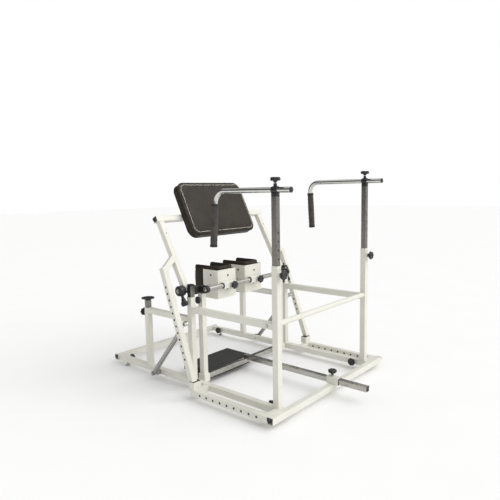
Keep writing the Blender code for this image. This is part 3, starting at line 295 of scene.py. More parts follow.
def material(name, base, *layers):
    """A material of one finish, with others laid over it where a mask of the place on the object
    is 1."""
    made = bpy.data.materials.new(name)
    made.use_nodes = True
    tree = made.node_tree
    where = node(tree, "ShaderNodeTexCoord", output="Object")
    colour, roughness, metallic, relief = base(tree, where)
    for over, mask in layers:
        share = mask(tree, where)
        parts = over(tree, where)
        colour = blend_colour(tree, share, colour, parts[0])
        roughness = blend_number(tree, share, roughness, parts[1])
        if metallic != parts[2]:
            metallic = blend_number(tree, share, metallic, parts[2])
        relief = blend_number(tree, share, relief, parts[3])
    shader = tree.nodes["Principled BSDF"]
    feed(tree, shader.inputs["Base Color"], colour)
    feed(tree, shader.inputs["Roughness"], roughness)
    feed(tree, shader.inputs["Metallic"], metallic)
    bump = node(tree, "ShaderNodeBump", {"Height": relief, "Distance": 1.0, "Strength": 1.0})
    feed(tree, shader.inputs["Normal"], bump)
    return made


# Masks: each is 1 on one part of a surface and 0 off it, on both sides of the frame


def within(low, high):
    """A mask of the box between two places on the chassis."""
    spans = tuple(zip(place(*low), place(*high)))

    def mask(tree, where):
        x, y, z = split(tree, where)
        share = 1.0
        for value, (start, end) in zip((math_node(tree, "ABSOLUTE", x), y, z), spans):
            above = math_node(tree, "GREATER_THAN", value, start)
            below = math_node(tree, "LESS_THAN", value, end)
            share = times(tree, share, times(tree, above, below))
        return share

    return mask


def drilled(chart, first, pitch, count, radius):
    """A mask of a row of round holes. The chart gives how far a place is along the row, how far
    off it, and 1 where the row may be."""
    start, end = first - pitch / 2, first + (count - 0.5) * pitch

    def mask(tree, where):
        along, off, share = chart(tree, where)
        step = math_node(tree, "PINGPONG", minus(tree, along, first), pitch / 2)
        squares = (times(tree, value, value) for value in (step, off))
        inside = math_node(tree, "LESS_THAN", math_node(tree, "ADD", *squares), radius * radius)
        after = math_node(tree, "GREATER_THAN", along, start)
        before = math_node(tree, "LESS_THAN", along, end)
        return times(tree, times(tree, share, inside), times(tree, after, before))

    return mask


def on_chassis(tree, where):
    """A place's distance from the middle of the frame, and its Y and Z on the chassis."""
    x, y, z = split(tree, where)
    return math_node(tree, "ABSOLUTE", x), minus(tree, y, CHASSIS.y), minus(tree, z, CHASSIS.z)


def upright_front(x, before_y):
    """The chart of an upright's front face."""

    def chart(tree, where):
        across, along, up = on_chassis(tree, where)
        return up, minus(tree, across, x), math_node(tree, "LESS_THAN", along, before_y)

    return chart


def rail_side(tree, where):
    """The chart of the outer rails' side faces."""
    across, along, up = on_chassis(tree, where)
    return along, minus(tree, up, RAIL_Z), math_node(tree, "GREATER_THAN", across, BETWEEN_TRACKS)


def down_lever(tree, where):
    """The chart of the drilled levers, counted down from their tops."""
    across, along, up = on_chassis(tree, where)
    ahead = minus(tree, LEVER_TOP[0], along)
    below = minus(tree, LEVER_TOP[1], up)
    sine, cosine = math.sin(LEVER_TILT), math.cos(LEVER_TILT)
    down = math_node(tree, "ADD", times(tree, ahead, sine), times(tree, below, cosine))
    off = minus(tree, times(tree, ahead, cosine), times(tree, below, sine))
    return down, off, math_node(tree, "GREATER_THAN", across, BETWEEN_TRACKS)


def lever_hollow_shade(tree, where):
    """A mask of the inner walls of the drilled levers, painted black as the shade inside the tubes.
    """
    across = on_chassis(tree, where)[0]
    down, off, _ = down_lever(tree, where)
    beside = math_node(tree, "ABSOLUTE", minus(tree, across, OUTER_TRACK))
    reach = math_node(tree, "MAXIMUM", beside, math_node(tree, "ABSOLUTE", off))
    hollow = math_node(tree, "LESS_THAN", reach, HOLLOW)
    return times(tree, hollow, math_node(tree, "GREATER_THAN", down, LEVER_START))


def strut_groove_shade(tree, where):
    """A mask of the lines along the struts' barrels, laid in the darker chrome as painted shade of
    grooves that are not cut into the barrel.
    """
    across, along, up = on_chassis(tree, where)
    ahead = times(tree, minus(tree, along, STRUT_FOOT[0]), SQUARE_TO_STRUT[0])
    above = times(tree, minus(tree, up, STRUT_FOOT[1]), SQUARE_TO_STRUT[1])
    off = math_node(tree, "ADD", ahead, above)
    angle = math_node(tree, "ARCTAN2", minus(tree, across, STRUT_X), off)
    wave = math_node(tree, "COSINE", times(tree, angle, GROOVES))
    return math_node(tree, "GREATER_THAN", wave, 0.55)


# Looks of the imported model's pieces

VINYL = material("vinyl", vinyl)
VINYL.node_tree.nodes["Principled BSDF"].inputs["Specular IOR Level"].default_value = 0.2
PLASTIC = material("moulded_plastic", black_plastic)
RUBBER = material("moulded_rubber", black_rubber)
FOAM = material("grip_foam", foam_grip)
THREAD_AND_HIGHLIGHT = material("stitching_thread", thread_and_highlight)
ZINC = material("zinc_plate", zinc)
WHITE = material("weld_paint", powder_coat)
PAINTED = material("painted_frame", powder_coat)

HOLE_SHADE_RADIUS = 0.0064  # radius of the black painted as shade in and round an adjusting hole
# Painted shade: the holes are black, standing for the dark inside of the tubes
OUTER_HOLE_SHADE = drilled(rail_side, 0.1035, 0.050, 9, HOLE_SHADE_RADIUS)
LEVER_HOLE_SHADE = drilled(down_lever, 0.095, 0.0375, 12, HOLE_SHADE_RADIUS)
ARM_HOLE_SHADE = drilled(upright_front(ARM_X, 0.898), 0.877, 0.029, 1, 0.0035)
STRUT_PIN = within((0.4605, 0.955, -0.01), (FAR, 1.0, 0.045))
STOP_RUBBER = within((0.505, 0.546, 0.0775), (FAR, 0.592, 0.0805))
# Painted shade: black inside the outer rails' hollow, seen through their holes
OUTER_RAIL_HOLLOW_SHADE = within(
    (OUTER_TRACK - HOLLOW, 0, RAIL_Z - HOLLOW), (OUTER_TRACK + HOLLOW, 0.6, RAIL_Z + HOLLOW)
)
UPPER_RAIL_BOLT = within((0.4603, 0, 0), (FAR, 0.2, FAR))
PIVOT_STUB = within((0.4275, 0.667, 0), (0.4575, 0.698, 0.581))
AXLE_TIP = within((0.5052, 0, 0), FARTHEST)
STOP_DISC = within((0, 0, 0.4485), FARTHEST)
KNEE_STUB = within((0, 0, 0), (FAR, FAR, 0.5345))


def handle_post(side):
    """A handle's tube, with its clamp at the top and four holes down its front, filled with black
    as painted shade; the tube's dark colour is a painted reflection.
    """
    clamp = within((0, 0, HANDLE_Z[side] - 0.0318), FARTHEST)
    holes = drilled(upright_front(TRACK, 0.0505), HANDLE_Z[side] - 0.3316, 0.0422, 4, 0.0055)
    layers = ((black_plastic, clamp), (black_plastic, holes))
    return material(f"handle_post_{SIDES[side]}_finish", painted_dark_reflection_chrome, *layers)


# In these looks the darker chrome is a painted dark reflection, and black laid in holes and hollows
# is painted shade
LOOKS = {  # by the start of a node's name
    "base_rail": material(
        "painted_rail",
        powder_coat,
        (zinc, STRUT_PIN),
        (black_rubber, STOP_RUBBER),
        (black_plastic, OUTER_RAIL_HOLLOW_SHADE),
        (black_plastic, OUTER_HOLE_SHADE),
    ),
    "seat_arm": material(
        "painted_arm",
        powder_coat,
        (black_plastic, lever_hollow_shade),
        (black_plastic, LEVER_HOLE_SHADE),
        (black_plastic, ARM_HOLE_SHADE),
    ),
    "upper_side_rail": material("painted_upper_rail", powder_coat, (zinc, UPPER_RAIL_BOLT)),
    "levelling_foot": material("foot_zinc", zinc),
    "pivot_head": material(
        "pivot_head_finish", black_plastic, (painted_dark_reflection_chrome, PIVOT_STUB), (zinc, AXLE_TIP)
    ),
    "strut_barrel": material("strut_aluminium", aluminium, (painted_dark_reflection_chrome, strut_groove_shade)),
    "strut_rod": material("strut_rod_chrome", chrome),
    "stop_post": material("stop_post_finish", painted_dark_reflection_chrome, (black_plastic, STOP_DISC)),
    "handle_post_right": handle_post(-1),
    "handle_post_left": handle_post(1),
    "handle_bar": material("handle_chrome", chrome),
    "hand_grip": material("grip_rubber", black_rubber),
    "slide_tube": material("slide_tube_chrome", satin_dim_reflection_chrome),
    "foot_plate": material("foot_plate_rubber", black_rubber),
    "knee_clamp": material("knee_clamp_finish", black_plastic, (painted_dark_reflection_chrome, KNEE_STUB)),
    "knee_bar": material("knee_bar_chrome", satin_dim_reflection_chrome),
}


def look_for(name):
    if "knob" in name:
        return PLASTIC
    for start, made in LOOKS.items():
        if name.startswith(start):
            return made
    return PAINTED


def finish_nodes():
    for name, obj in NODES.items():
        obj.data.materials.clear()
        obj.data.materials.append(look_for(name))


# Shapes

SHARP = math.radians(40)
UP = (0, 0, 1)
REARWARD = (0, 1, 0)
FORWARD = (0, -1, 0)


def show(name, mesh_data, look, matrix=None):
    """An object from mesh data, smooth apart from its sharp edges."""
    data = bpy.data.meshes.new(name)
    bmesh.ops.recalc_face_normals(mesh_data, faces=mesh_data.faces)
    mesh_data.to_mesh(data)
    mesh_data.free()
    data.shade_smooth()
    data.set_sharp_from_angle(angle=SHARP)
    data.materials.append(look)
    obj = bpy.data.objects.new(name, data)
    if matrix is not None:
        obj.matrix_world = matrix
    bpy.context.scene.collection.objects.link(obj)
    return obj


def facing(start, axis, upward=UP):
    """The matrix that takes +Z to an axis and the origin to a start, with +Y as near upward as it
    goes."""
    z = Vector(axis).normalized()
    level = Vector(upward)
    if abs(z.dot(level)) > 0.99:
        level = Vector(REARWARD)
    x = level.cross(z).normalized()
    matrix = Matrix((x, z.cross(x), z)).transposed().to_4x4()
    matrix.translation = Vector(start)
    return matrix


def rings_to_mesh(rings, closed=False):
    """A skin through rings of points, each ring of the same length. Its two ends are filled, or
    joined if it is closed."""
    mesh = bmesh.new()
    laid = [[mesh.verts.new(point) for point in ring] for ring in rings]
    count = len(laid[0])
    for lower, upper in zip(laid, laid[1:] + (laid[:1] if closed else [])):
        for step in range(count):
            after = (step + 1) % count
            mesh.faces.new((lower[step], lower[after], upper[after], upper[step]))
    if not closed:
        mesh.faces.new(laid[0][::-1])
        mesh.faces.new(laid[-1])
    return mesh


def turned(name, profile, look, matrix, steps, wave=None, closed=False):
    """A shape turned about its Z axis from (radius, height) pairs. Wave may change a radius with
    the angle."""
    rings = []
    for index, (radius, height) in enumerate(profile):
        ring = []
        for step in range(steps):
            angle = 2 * math.pi * step / steps
            reach = radius * (wave(index, angle) if wave else 1.0)
            ring.append((reach * math.cos(angle), reach * math.sin(angle), height))
        rings.append(ring)
    return show(name, rings_to_mesh(rings, closed), look, matrix)


def tip(name, axis):
    """The middle of a CAD node's far end along an axis."""
    axis = Vector(axis)
    points = [v.co for v in NODES[name].data.vertices]
    reach = max(p.dot(axis) for p in points)
    end = {tuple(round(c, 5) for c in p) for p in points if reach - p.dot(axis) < 0.0002}
    return sum((Vector(p) for p in end), Vector()) / len(end)


def rounded_outline(half_x, half_y, corner, step):
    """Points round a rectangle with round corners, about a step apart."""
    points = []
    turns = max(3, round(corner * math.pi / 2 / step))
    for index, (sx, sy) in enumerate(((1, 1), (-1, 1), (-1, -1), (1, -1))):
        x, y = sx * (half_x - corner), sy * (half_y - corner)
        for turn in range(turns + 1):
            angle = (index + turn / turns) * math.pi / 2
            points.append((x + corner * math.cos(angle), y + corner * math.sin(angle)))
    filled = []
    for here, after in zip(points, points[1:] + points[:1]):
        pieces = max(1, round(math.dist(here, after) / step))
        for piece in range(pieces):
            filled.append(tuple(a + (b - a) * piece / pieces for a, b in zip(here, after)))
    return filled


def stack(layers, step):
    """Mesh data of a skin over rounded rectangles, given as (half_x, half_y, corner, height)."""
    rings = []
    for half_x, half_y, corner, height in layers:
        outline = rounded_outline(half_x, half_y, corner, step)
        rings.append([(x, y, height) for x, y in outline])
    count = min(len(ring) for ring in rings)
    return rings_to_mesh([ring[:count] for ring in rings])


def wire(name, lines, radius, look, matrix, closed=True):
    """Round beads along lines of points."""
    curve = bpy.data.curves.new(name, "CURVE")
    curve.dimensions = "3D"
    curve.bevel_depth = radius
    curve.bevel_resolution = 3
    curve.use_fill_caps = True
    for points in lines:
        spline = curve.splines.new("POLY")
        spline.points.add(len(points) - 1)
        for index, point in enumerate(points):
            spline.points[index].co = (*point, 1.0)
        spline.use_cyclic_u = closed
    curve.materials.append(look)
    obj = bpy.data.objects.new(name, curve)
    obj.matrix_world = matrix
    bpy.context.scene.collection.objects.link(obj)
    return obj


# Knobs

KNOBS = {  # start of the name: (axis with X outward, radius, head, neck, bare share of the neck)
    "front_crossbar_knob": ((-1, 0, 0), 0.025, 0.015, 0.010, 0.1),
    "rear_crossbar_knob": ((-1, 0, 0), 0.025, 0.015, 0.010, 0.1),
    "front_post_knob": (FORWARD, 0.025, 0.016, 0.013, 0.1),
    "stop_post_knob": (REARWARD, 0.025, 0.016, 0.013, 0.1),
    "handle_knob": (UP, 0.0255, 0.018, 0.012, 0.3),
    "knee_post_knob": ((1, 0, 0), 0.022, 0.015, 0.010, 0.1),
    "knee_pad_knob": (FORWARD, 0.025, 0.016, 0.011, 0.1),
    "slide_knob": (UP, 0.025, 0.017, 0.020, 0.4),
}
LOBES = 7
KNOB_SECTION = (  # (share of the radius, share of the head's height, how far it is lobed)
    (0.80, 0.0, 0.5),
    (0.94, 0.10, 1.0),
    (1.0, 0.30, 1.0),
    (1.0, 0.62, 1.0),
    (0.95, 0.84, 1.0),
    (0.84, 0.96, 0.9),
    (0.70, 1.0, 0.5),
    (0.50, 0.98, 0.0),
    (0.44, 0.90, 0.0),
    (0.38, 0.86, 0.0),
    (0.30, 0.90, 0.0),
    (0.12, 0.92, 0.0),
)
KNOB_LOBE = 0.13  # how deep a lobe is, as a share of the radius
SCREW_ROOT, SCREW_CREST, SCREW_PITCH = 0.0034, 0.0040, 0.0012
SCREW_SINK = 0.001  # how far the screw starts inside the tube


def lobed_head(name, neck, section, sizes, depth, matrix):
    """A moulded head with lobes round it, above the (radius, height) pairs of its neck. The sizes
    are its radius, the height it starts at and its own height."""
    radius, foot, head = sizes
    profile = neck + [(wide * radius, foot + high * head) for wide, high, _ in section]
    lobed = [0.0] * len(neck) + [lobe for *_, lobe in section]

    def wave(index, angle):
        return 1 - depth * lobed[index] * (1 - math.cos(LOBES * angle)) / 2

    return turned(name, profile, PLASTIC, matrix, 84, wave)


def knob(name, axis, radius, head, neck, bare):
    """A star knob, and the screw that shows under its neck."""
    body = NODES[name]["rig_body"]
    matrix = facing(tip(name, axis) - (head + neck) * Vector(axis), axis)
    foot = 0.0004 + bare * neck
    collar = [(0.26 * radius, foot), (0.32 * radius, foot)]
    collar += [(0.34 * radius, 0.6 * neck), (0.44 * radius, neck)]
    sizes = (radius, neck, head)
    made = lobed_head(f"{name}_moulded", collar, KNOB_SECTION, sizes, KNOB_LOBE, matrix)
    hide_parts(name)
    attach(made, body)
    screw = [(SCREW_ROOT, -SCREW_SINK)]
    for turn in range(max(1, round((foot + SCREW_SINK) / SCREW_PITCH))):
        start = SCREW_PITCH * turn
        screw += [(SCREW_ROOT, start), (SCREW_CREST, start + SCREW_PITCH / 2)]
    screw.append((SCREW_ROOT, foot + 0.0005))
    stud = turned(f"{name}_stud", screw, ZINC, matrix, 16)
    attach(stud, body)


def knobs():
    for start, (axis, *sizes) in KNOBS.items():
        for name in [n for n in NODES if n.startswith(start)]:
            side = -1 if name.endswith("right") else 1
            knob(name, (axis[0] * side, *axis[1:]), *sizes)


# Cushions

CLOTH_FRAMES = 20
PINNED = 0.004  # how near a seam or a lining a point is held


def bake(obj):
    """Puts an object's modifiers into its mesh."""
    bpy.context.view_layer.update()
    graph = bpy.context.evaluated_depsgraph_get()
    mesh = bpy.data.meshes.new_from_object(obj.evaluated_get(graph))
    obj.modifiers.clear()
    obj.data = mesh


def swell(obj, voxel, cap, pinned):
    """Remeshes a pad, blows it up against its seams in a short cloth simulation, and keeps the
    swollen shape. No point moves further than the cap."""
    remesh = obj.modifiers.new("remesh", "REMESH")
    remesh.mode = "VOXEL"
    remesh.voxel_size = voxel
    bake(obj)
    rest = [v.co.copy() for v in obj.data.vertices]
    group = obj.vertex_groups.new(name="seams")
    group.add([i for i, point in enumerate(rest) if pinned(point)], 1.0, "REPLACE")
    cloth = obj.modifiers.new("cloth", "CLOTH")
    cloth.settings.quality = 4
    cloth.settings.mass = 0.3
    cloth.settings.tension_stiffness = 12
    cloth.settings.compression_stiffness = 12
    cloth.settings.bending_stiffness = 1.5
    cloth.settings.shrink_min = -0.012
    cloth.settings.use_pressure = True
    cloth.settings.uniform_pressure_force = 4.0
    cloth.settings.vertex_group_mass = "seams"
    cloth.settings.effector_weights.gravity = 0
    cloth.collision_settings.use_collision = False
    for frame_number in range(1, CLOTH_FRAMES + 1):
        bpy.context.scene.frame_set(frame_number)
    bake(obj)
    bpy.context.scene.frame_set(1)
    for vert, start in zip(obj.data.vertices, rest):
        moved = vert.co - start
        if moved.length:
            vert.co = start + moved * (cap * math.tanh(moved.length / cap) / moved.length)


def soften(obj):
    """Rounds a remeshed pad's steps off."""
    obj.data.shade_smooth()
    smooth = obj.modifiers.new("soften", "SUBSURF")
    smooth.levels = 1
    smooth.render_levels = 1
    bake(obj)
    obj.data.shade_smooth()


def on_surface(obj, points, proud):
    """Points moved on to an object's surface, and a little out of it, in its own coordinates."""
    found = []
    for point in points:
        _, nearest, normal, _ = obj.closest_point_on_mesh(Vector(point))
        found.append(nearest + proud * normal)
    return found


ARM_TILT = math.radians(28.4)  # from the vertical, rearward
SEAT_TILT = math.radians(26.0)
SEAT_HALF = (0.287, 0.180)
SEAT_CORNER = 0.055
SEAT_CROSSBAR = 0.4525  # up the arm from the pivot
CROSSBAR_FACE = 0.0195  # in front of the arm's centre line
SEAT_RISE = 0.0295  # from the crossbar's face to the pad's middle, along the pad
SEAT_LIFT = 0.0275  # and square to it
SEAT_INSET = 0.002
SEAT_BACK, SEAT_FRONT = -0.0265, 0.0245  # in the pad's own heights, as for the seam
SEAT_SEAM = SEAT_FRONT - 0.005
SEAT_SEAM_HALF = 0.003  # of the band that the seam takes up
SEAT_EDGE = 0.006
SEAT_VOXEL, SEAT_CAP = 0.006, 0.007
SEAT_RIM = 0.012  # the outline's border, where the seam and the stitches are
OUTLINE_STEP = 0.012
WELT = 0.0026
WELT_STEP = 0.006
WELT_MARGIN = 0.004  # beyond the pad's outline
WELT_PROUD = 0.0008
STITCH_STEP = 0.0036  # a third of the way from one stitch to the next
STITCH_CORNER = SEAT_CORNER - 0.010
STITCH = 0.0015
STITCH_PROUD = 0.0009
ABOVE_PAD = 0.05


def on_arm(lift):
    """A step up the seat arm."""
    return 0, math.sin(ARM_TILT) * lift, math.cos(ARM_TILT) * lift


def arm_place(x, reach, lift):
    """A point by its distance up the seat arm from the pivot and in front of the arm's centre
    line."""
    y = PIVOT[0] + reach * math.sin(ARM_TILT) - lift * math.cos(ARM_TILT)
    z = PIVOT[1] + reach * math.cos(ARM_TILT) + lift * math.sin(ARM_TILT)
    return place(x, y, z)


def slab(half_x, half_y, corner, low, high):
    """Mesh data of a rounded rectangle with eased rims, between two heights."""
    third = SEAT_EDGE * 0.3
    eased = ((SEAT_EDGE, 0), (third, third), (0, SEAT_EDGE))  # (how far in, how far from the face)
    rims = [(inset, low + off) for inset, off in eased]
    rims += [(inset, high - off) for inset, off in eased[::-1]]
    layers = [(half_x - inset, half_y - inset, corner - inset, height) for inset, height in rims]
    return stack(layers, OUTLINE_STEP)


def stitching(pad, half_x, half_y):
    """A row of pale stitches on a pad's front face, inside its rim, which also paints the highlight
    along the front edge.
    """
    outline = rounded_outline(half_x - SEAT_RIM, half_y - SEAT_RIM, STITCH_CORNER, STITCH_STEP)
    points = on_surface(pad, [(x, y, ABOVE_PAD) for x, y in outline], STITCH_PROUD)
    stitches = [points[start : start + 3] for start in range(0, len(points) - 2, 3)]
    made = wire("seat_stitches", stitches, STITCH, THREAD_AND_HIGHLIGHT, pad.matrix_world, closed=False)
    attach(made, "seat")


def seat_cushion():
    up = Vector((0, math.sin(SEAT_TILT), math.cos(SEAT_TILT)))
    front = Vector((0, -math.cos(SEAT_TILT), math.sin(SEAT_TILT)))
    start = arm_place(0, SEAT_CROSSBAR, CROSSBAR_FACE) + SEAT_RISE * up + SEAT_LIFT * front
    half_x, half_y = (half - SEAT_INSET for half in SEAT_HALF)
    shape = slab(half_x, half_y, SEAT_CORNER, SEAT_BACK, SEAT_FRONT)
    obj = show("seat_cushion", shape, VINYL, facing(start, front))

    def pinned(point):
        x, y = abs(point.x), abs(point.y)
        at_side = x > half_x - SEAT_RIM or y > half_y - SEAT_RIM
        near_corner = x > half_x - SEAT_CORNER and y > half_y - SEAT_CORNER
        on_seam = abs(point.z - SEAT_SEAM) < SEAT_SEAM_HALF and (at_side or near_corner)
        return point.z < SEAT_BACK + PINNED or on_seam

    swell(obj, SEAT_VOXEL, SEAT_CAP, pinned)
    soften(obj)
    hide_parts("seat_pad")
    sizes = [size + WELT_MARGIN for size in (half_x, half_y, SEAT_CORNER)]
    for label, height in (("front", SEAT_SEAM), ("back", SEAT_BACK + 0.003)):
        outline = rounded_outline(*sizes, WELT_STEP)
        points = on_surface(obj, [(x, y, height) for x, y in outline], WELT_PROUD)
        welt = wire(f"seat_welt_{label}", [points], WELT, VINYL, obj.matrix_world)
        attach(welt, "seat")
    stitching(obj, half_x, half_y)
    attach(obj, "seat")


KNEE_PAD_X = {-1: -0.187, 1: 0.056}
KNEE_HALF = 0.0644  # from the cushion's middle to the middle of a wing
KNEE_FRONT = 0.6556
KNEE_BACK = 0.846
KNEE_CORNER = 0.014  # of a wing's end, seen from the side
KNEE_BEND = 0.030
KNEE_THICK = 0.021
KNEE_LOW, KNEE_HIGH = 0.5025, 0.6725
KNEE_HEIGHT = KNEE_HIGH - KNEE_LOW
KNEE_END_FULLNESS = (0.55, 0.82, 0.94)  # of the thickness, from a wing's end on
KNEE_VOXEL, KNEE_CAP = 0.005, 0.004
KNEE_STEP = 0.006
KNEE_BEND_STEPS = 6
KNEE_WELT = 0.0016
KNEE_WELT_INSET = 0.006  # from the top and the bottom
KNEE_WELT_PROUD = 0.0004
OVAL_STEPS = 32
PLATE_BACK = 0.766


def trough_line(half, front, back, bend):
    """Points along the middle of a knee cushion, from one wing's end round the front to the
    other's, as (x, y)."""
    points = []
    reach = back
    while reach > front + bend:
        points.append((-half, reach))
        reach -= KNEE_STEP
    for turn in range(KNEE_BEND_STEPS + 1):
        angle = math.pi + turn / KNEE_BEND_STEPS * math.pi / 2
        x, y = -half + bend + bend * math.cos(angle), front + bend + bend * math.sin(angle)
        points.append((x, y))
    return points + [(-x, y) for x, y in reversed(points)]


def oval(half_wide, half_high):
    """Points round an oval that is nearly a rectangle."""
    points = []
    for step in range(OVAL_STEPS):
        angle = 2 * math.pi * step / OVAL_STEPS
        parts = (math.cos(angle), math.sin(angle))
        wide, high = (math.copysign(abs(part) ** 0.5, part) for part in parts)
        points.append((wide * half_wide, high * half_high))
    return points


def knee_cushion(side):
    name = SIDES[side]
    line = trough_line(KNEE_HALF, KNEE_FRONT, KNEE_BACK, KNEE_BEND)
    middle = (KNEE_LOW + KNEE_HIGH) / 2
    section = oval(KNEE_THICK / 2, KNEE_HEIGHT / 2)
    rings = []
    for index, (x, y) in enumerate(line):
        before, after = line[max(index - 1, 0)], line[min(index + 1, len(line) - 1)]
        way = Vector((after[0] - before[0], after[1] - before[1], 0)).normalized()
        across = Vector((way.y, -way.x, 0))
        end = min(index, len(line) - 1 - index)
        fullness = KNEE_END_FULLNESS[end] if end < len(KNEE_END_FULLNESS) else 1.0
        short = max(KNEE_CORNER - (KNEE_BACK - y), 0)
        height = 1 - 2 * (KNEE_CORNER - math.sqrt(KNEE_CORNER**2 - short**2)) / KNEE_HEIGHT
        ring = []
        for wide, high in section:
            ring.append(Vector((x, y, middle + high * height)) + (wide * fullness) * across)
        rings.append(ring)
    start = Matrix.Translation(place(KNEE_PAD_X[side], 0, 0))
    obj = show(f"knee_cushion_{name}_stuffed", rings_to_mesh(rings), VINYL, start)
    outer_x = KNEE_HALF + KNEE_THICK / 2 - PINNED
    front_y = KNEE_FRONT - KNEE_THICK / 2 + PINNED

    def pinned(point):
        lining = point.y < PLATE_BACK and (abs(point.x) > outer_x or point.y < front_y)
        rim = min(abs(point.z - KNEE_LOW), abs(point.z - KNEE_HIGH)) < PINNED
        return lining or rim

    swell(obj, KNEE_VOXEL, KNEE_CAP, pinned)
    soften(obj)
    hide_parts(f"knee_cushion_{name}")
    inner = trough_line(
        KNEE_HALF - KNEE_THICK / 2 - WELT_MARGIN,
        KNEE_FRONT + KNEE_THICK / 2 + WELT_MARGIN,
        KNEE_BACK + WELT_MARGIN,
        KNEE_BEND - 0.010,
    )
    heights = {"top": KNEE_HIGH - KNEE_WELT_INSET, "bottom": KNEE_LOW + KNEE_WELT_INSET}
    for label, height in heights.items():
        points = on_surface(obj, [(x, y, height) for x, y in inner], KNEE_WELT_PROUD)
        title = f"knee_welt_{label}_{name}"
        welt = wire(title, [points], KNEE_WELT, VINYL, obj.matrix_world, closed=False)
        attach(welt, f"knee_pad_{name}")
    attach(obj, f"knee_pad_{name}")


# Trim

NYLON = (PLASTIC, "black_plastic")  # a look and its slot, as for the next two
PLATED = (ZINC, "chrome")
PAINT = (WHITE, "white_powder_coat")
TUBE_CAP = 0.0345
CROSSBAR_CAP = 0.0358
SLIDE_TUBE_CAP = 0.0295
CROSSBAR_ENDS = {"front": (0.565, 0.0175), "rear": (0.470, 1.4125)}  # (X, Y)
OUTER_RAIL_END = 0.573  # Y
SEAT_CROSSBAR_END = 0.477  # X
ARM_HEEL = -0.012  # up the arm from the pivot
ARM_TOP = 0.4346
SLIDE_TUBE_FRONT = -0.198
HANDLE_PLUG = (0.0143, 0.005)  # (radius, height), as for the next
KNEE_BAR_PLUG = (0.0128, 0.002)
KNEE_BAR_END = 0.392
BOLT_HEIGHT = 0.003
WING_X = 0.080  # from the knee plate's middle
PLATE_FRONT = 0.640
# (Y, Z, radius)
WING_BOLTS = ((0.697, 0.619, 0.006), (0.705, 0.560, 0.0035), (0.708, 0.526, 0.0045))
# (X on the plate, Z, radius)
FRONT_BOLTS = ((0.008, 0.612, 0.006), (0.000, 0.530, 0.0045))
SLEEVE_Z = 0.0541
SLEEVE_MOUTHS = {"front": (0.001, FORWARD, 0.029), "back": (0.039, REARWARD, 0.009)}  # Y, length
CAP_FACE = ((1.0, 0.6), (0.96, 0.9), (0.6, 1.0), (0.2, 1.0))  # (share of the size, of the rise)
HUB_COVER = (
    (0.0250, 0.0),
    (0.0288, 0.0012),
    (0.0296, 0.0035),
    (0.0296, 0.0335),
    (0.0288, 0.0365),
    (0.0262, 0.0383),
    (0.0205, 0.0386),
    (0.0195, 0.0378),
    (0.0080, 0.0378),
)
HUB_START = 0.4665  # X
HUB_SCREW_X = 0.486
HUB_SCREW_DROP = 0.050  # from the pivot to the head's neck
HUB_SCREW_TILT = math.radians(23.2)
HUB_SCREW_NECK = [(0.0105, -0.004), (0.0125, 0.0), (0.0130, 0.008), (0.0150, 0.013)]
HUB_SCREW_HEAD = (0.0205, 0.015, 0.0245)  # (radius, start, height)
HUB_SCREW_LOBE = 0.12
BUSH_OFFSETS = {-1: -0.060, 1: 0.045}  # X from the pad's middle
BUSH = (
    (0.0146, -0.001),
    (0.0180, -0.001),
    (0.0178, 0.0012),
    (0.0170, 0.0018),
    (0.0150, 0.0018),
    (0.0146, 0.0012),
)


def tube_cap(name, body, centre, axis, size, upward=UP, proud=0.003):
    """A moulded plug in the end of a square tube, with a domed face."""
    layers = []
    for share, height in [(1.0, -0.0012)] + [(share, rise * proud) for share, rise in CAP_FACE]:
        half = share * size / 2
        layers.append((half, half, 0.18 * half, height))
    made = show(name, stack(layers, size / 12), PLASTIC, facing(centre, axis, upward))
    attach(made, body)


def dome(name, body, centre, axis, radius, height, look, slot, sides=24):
    """A low domed head: bolts, plugs and the ends of round bars."""
    profile = [(0.98 * radius, -0.0006), (radius, 0.3 * height), (0.93 * radius, 0.7 * height)]
    profile += [(0.68 * radius, 0.93 * height), (0.34 * radius, height), (0.08 * radius, height)]
    made = turned(name, profile, look, facing(centre, axis), sides)
    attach(made, body)


def caps():
    """Plugs in the ends of the tubes and bars."""
    for side, name in SIDES.items():
        out = (side, 0, 0)
        for label, (x, y) in CROSSBAR_ENDS.items():
            body = f"{label}_crossbar"
            tube_cap(f"{body}_cap_{name}", body, place(side * x, y, RAIL_Z), out, CROSSBAR_CAP)
        end = place(side * OUTER_TRACK, OUTER_RAIL_END, RAIL_Z)
        tube_cap(f"outer_rail_cap_{name}", "frame", end, REARWARD, TUBE_CAP)
        end = arm_place(side * SEAT_CROSSBAR_END, SEAT_CROSSBAR, 0)
        tube_cap(f"seat_crossbar_cap_{name}", "seat", end, out, TUBE_CAP, on_arm(1), 0.004)
        end = arm_place(side * ARM_X, ARM_HEEL, 0)
        tube_cap(f"arm_heel_cap_{name}", "seat", end, on_arm(-1), TUBE_CAP, REARWARD)
        end = place(side * TRACK, HANDLE_FRONT[side], HANDLE_Z[side])
        dome(f"handle_plug_{name}", f"handle_{name}", end, FORWARD, *HANDLE_PLUG, *NYLON)
        end = place(side * KNEE_BAR_END, *KNEE_BAR)
        dome(f"knee_bar_end_{name}", "knee_rest", end, out, *KNEE_BAR_PLUG, *PLATED)
    end = place(0, SLIDE_TUBE_FRONT, SLIDE_Z)
    tube_cap("slide_tube_cap", "carriage", end, FORWARD, SLIDE_TUBE_CAP)


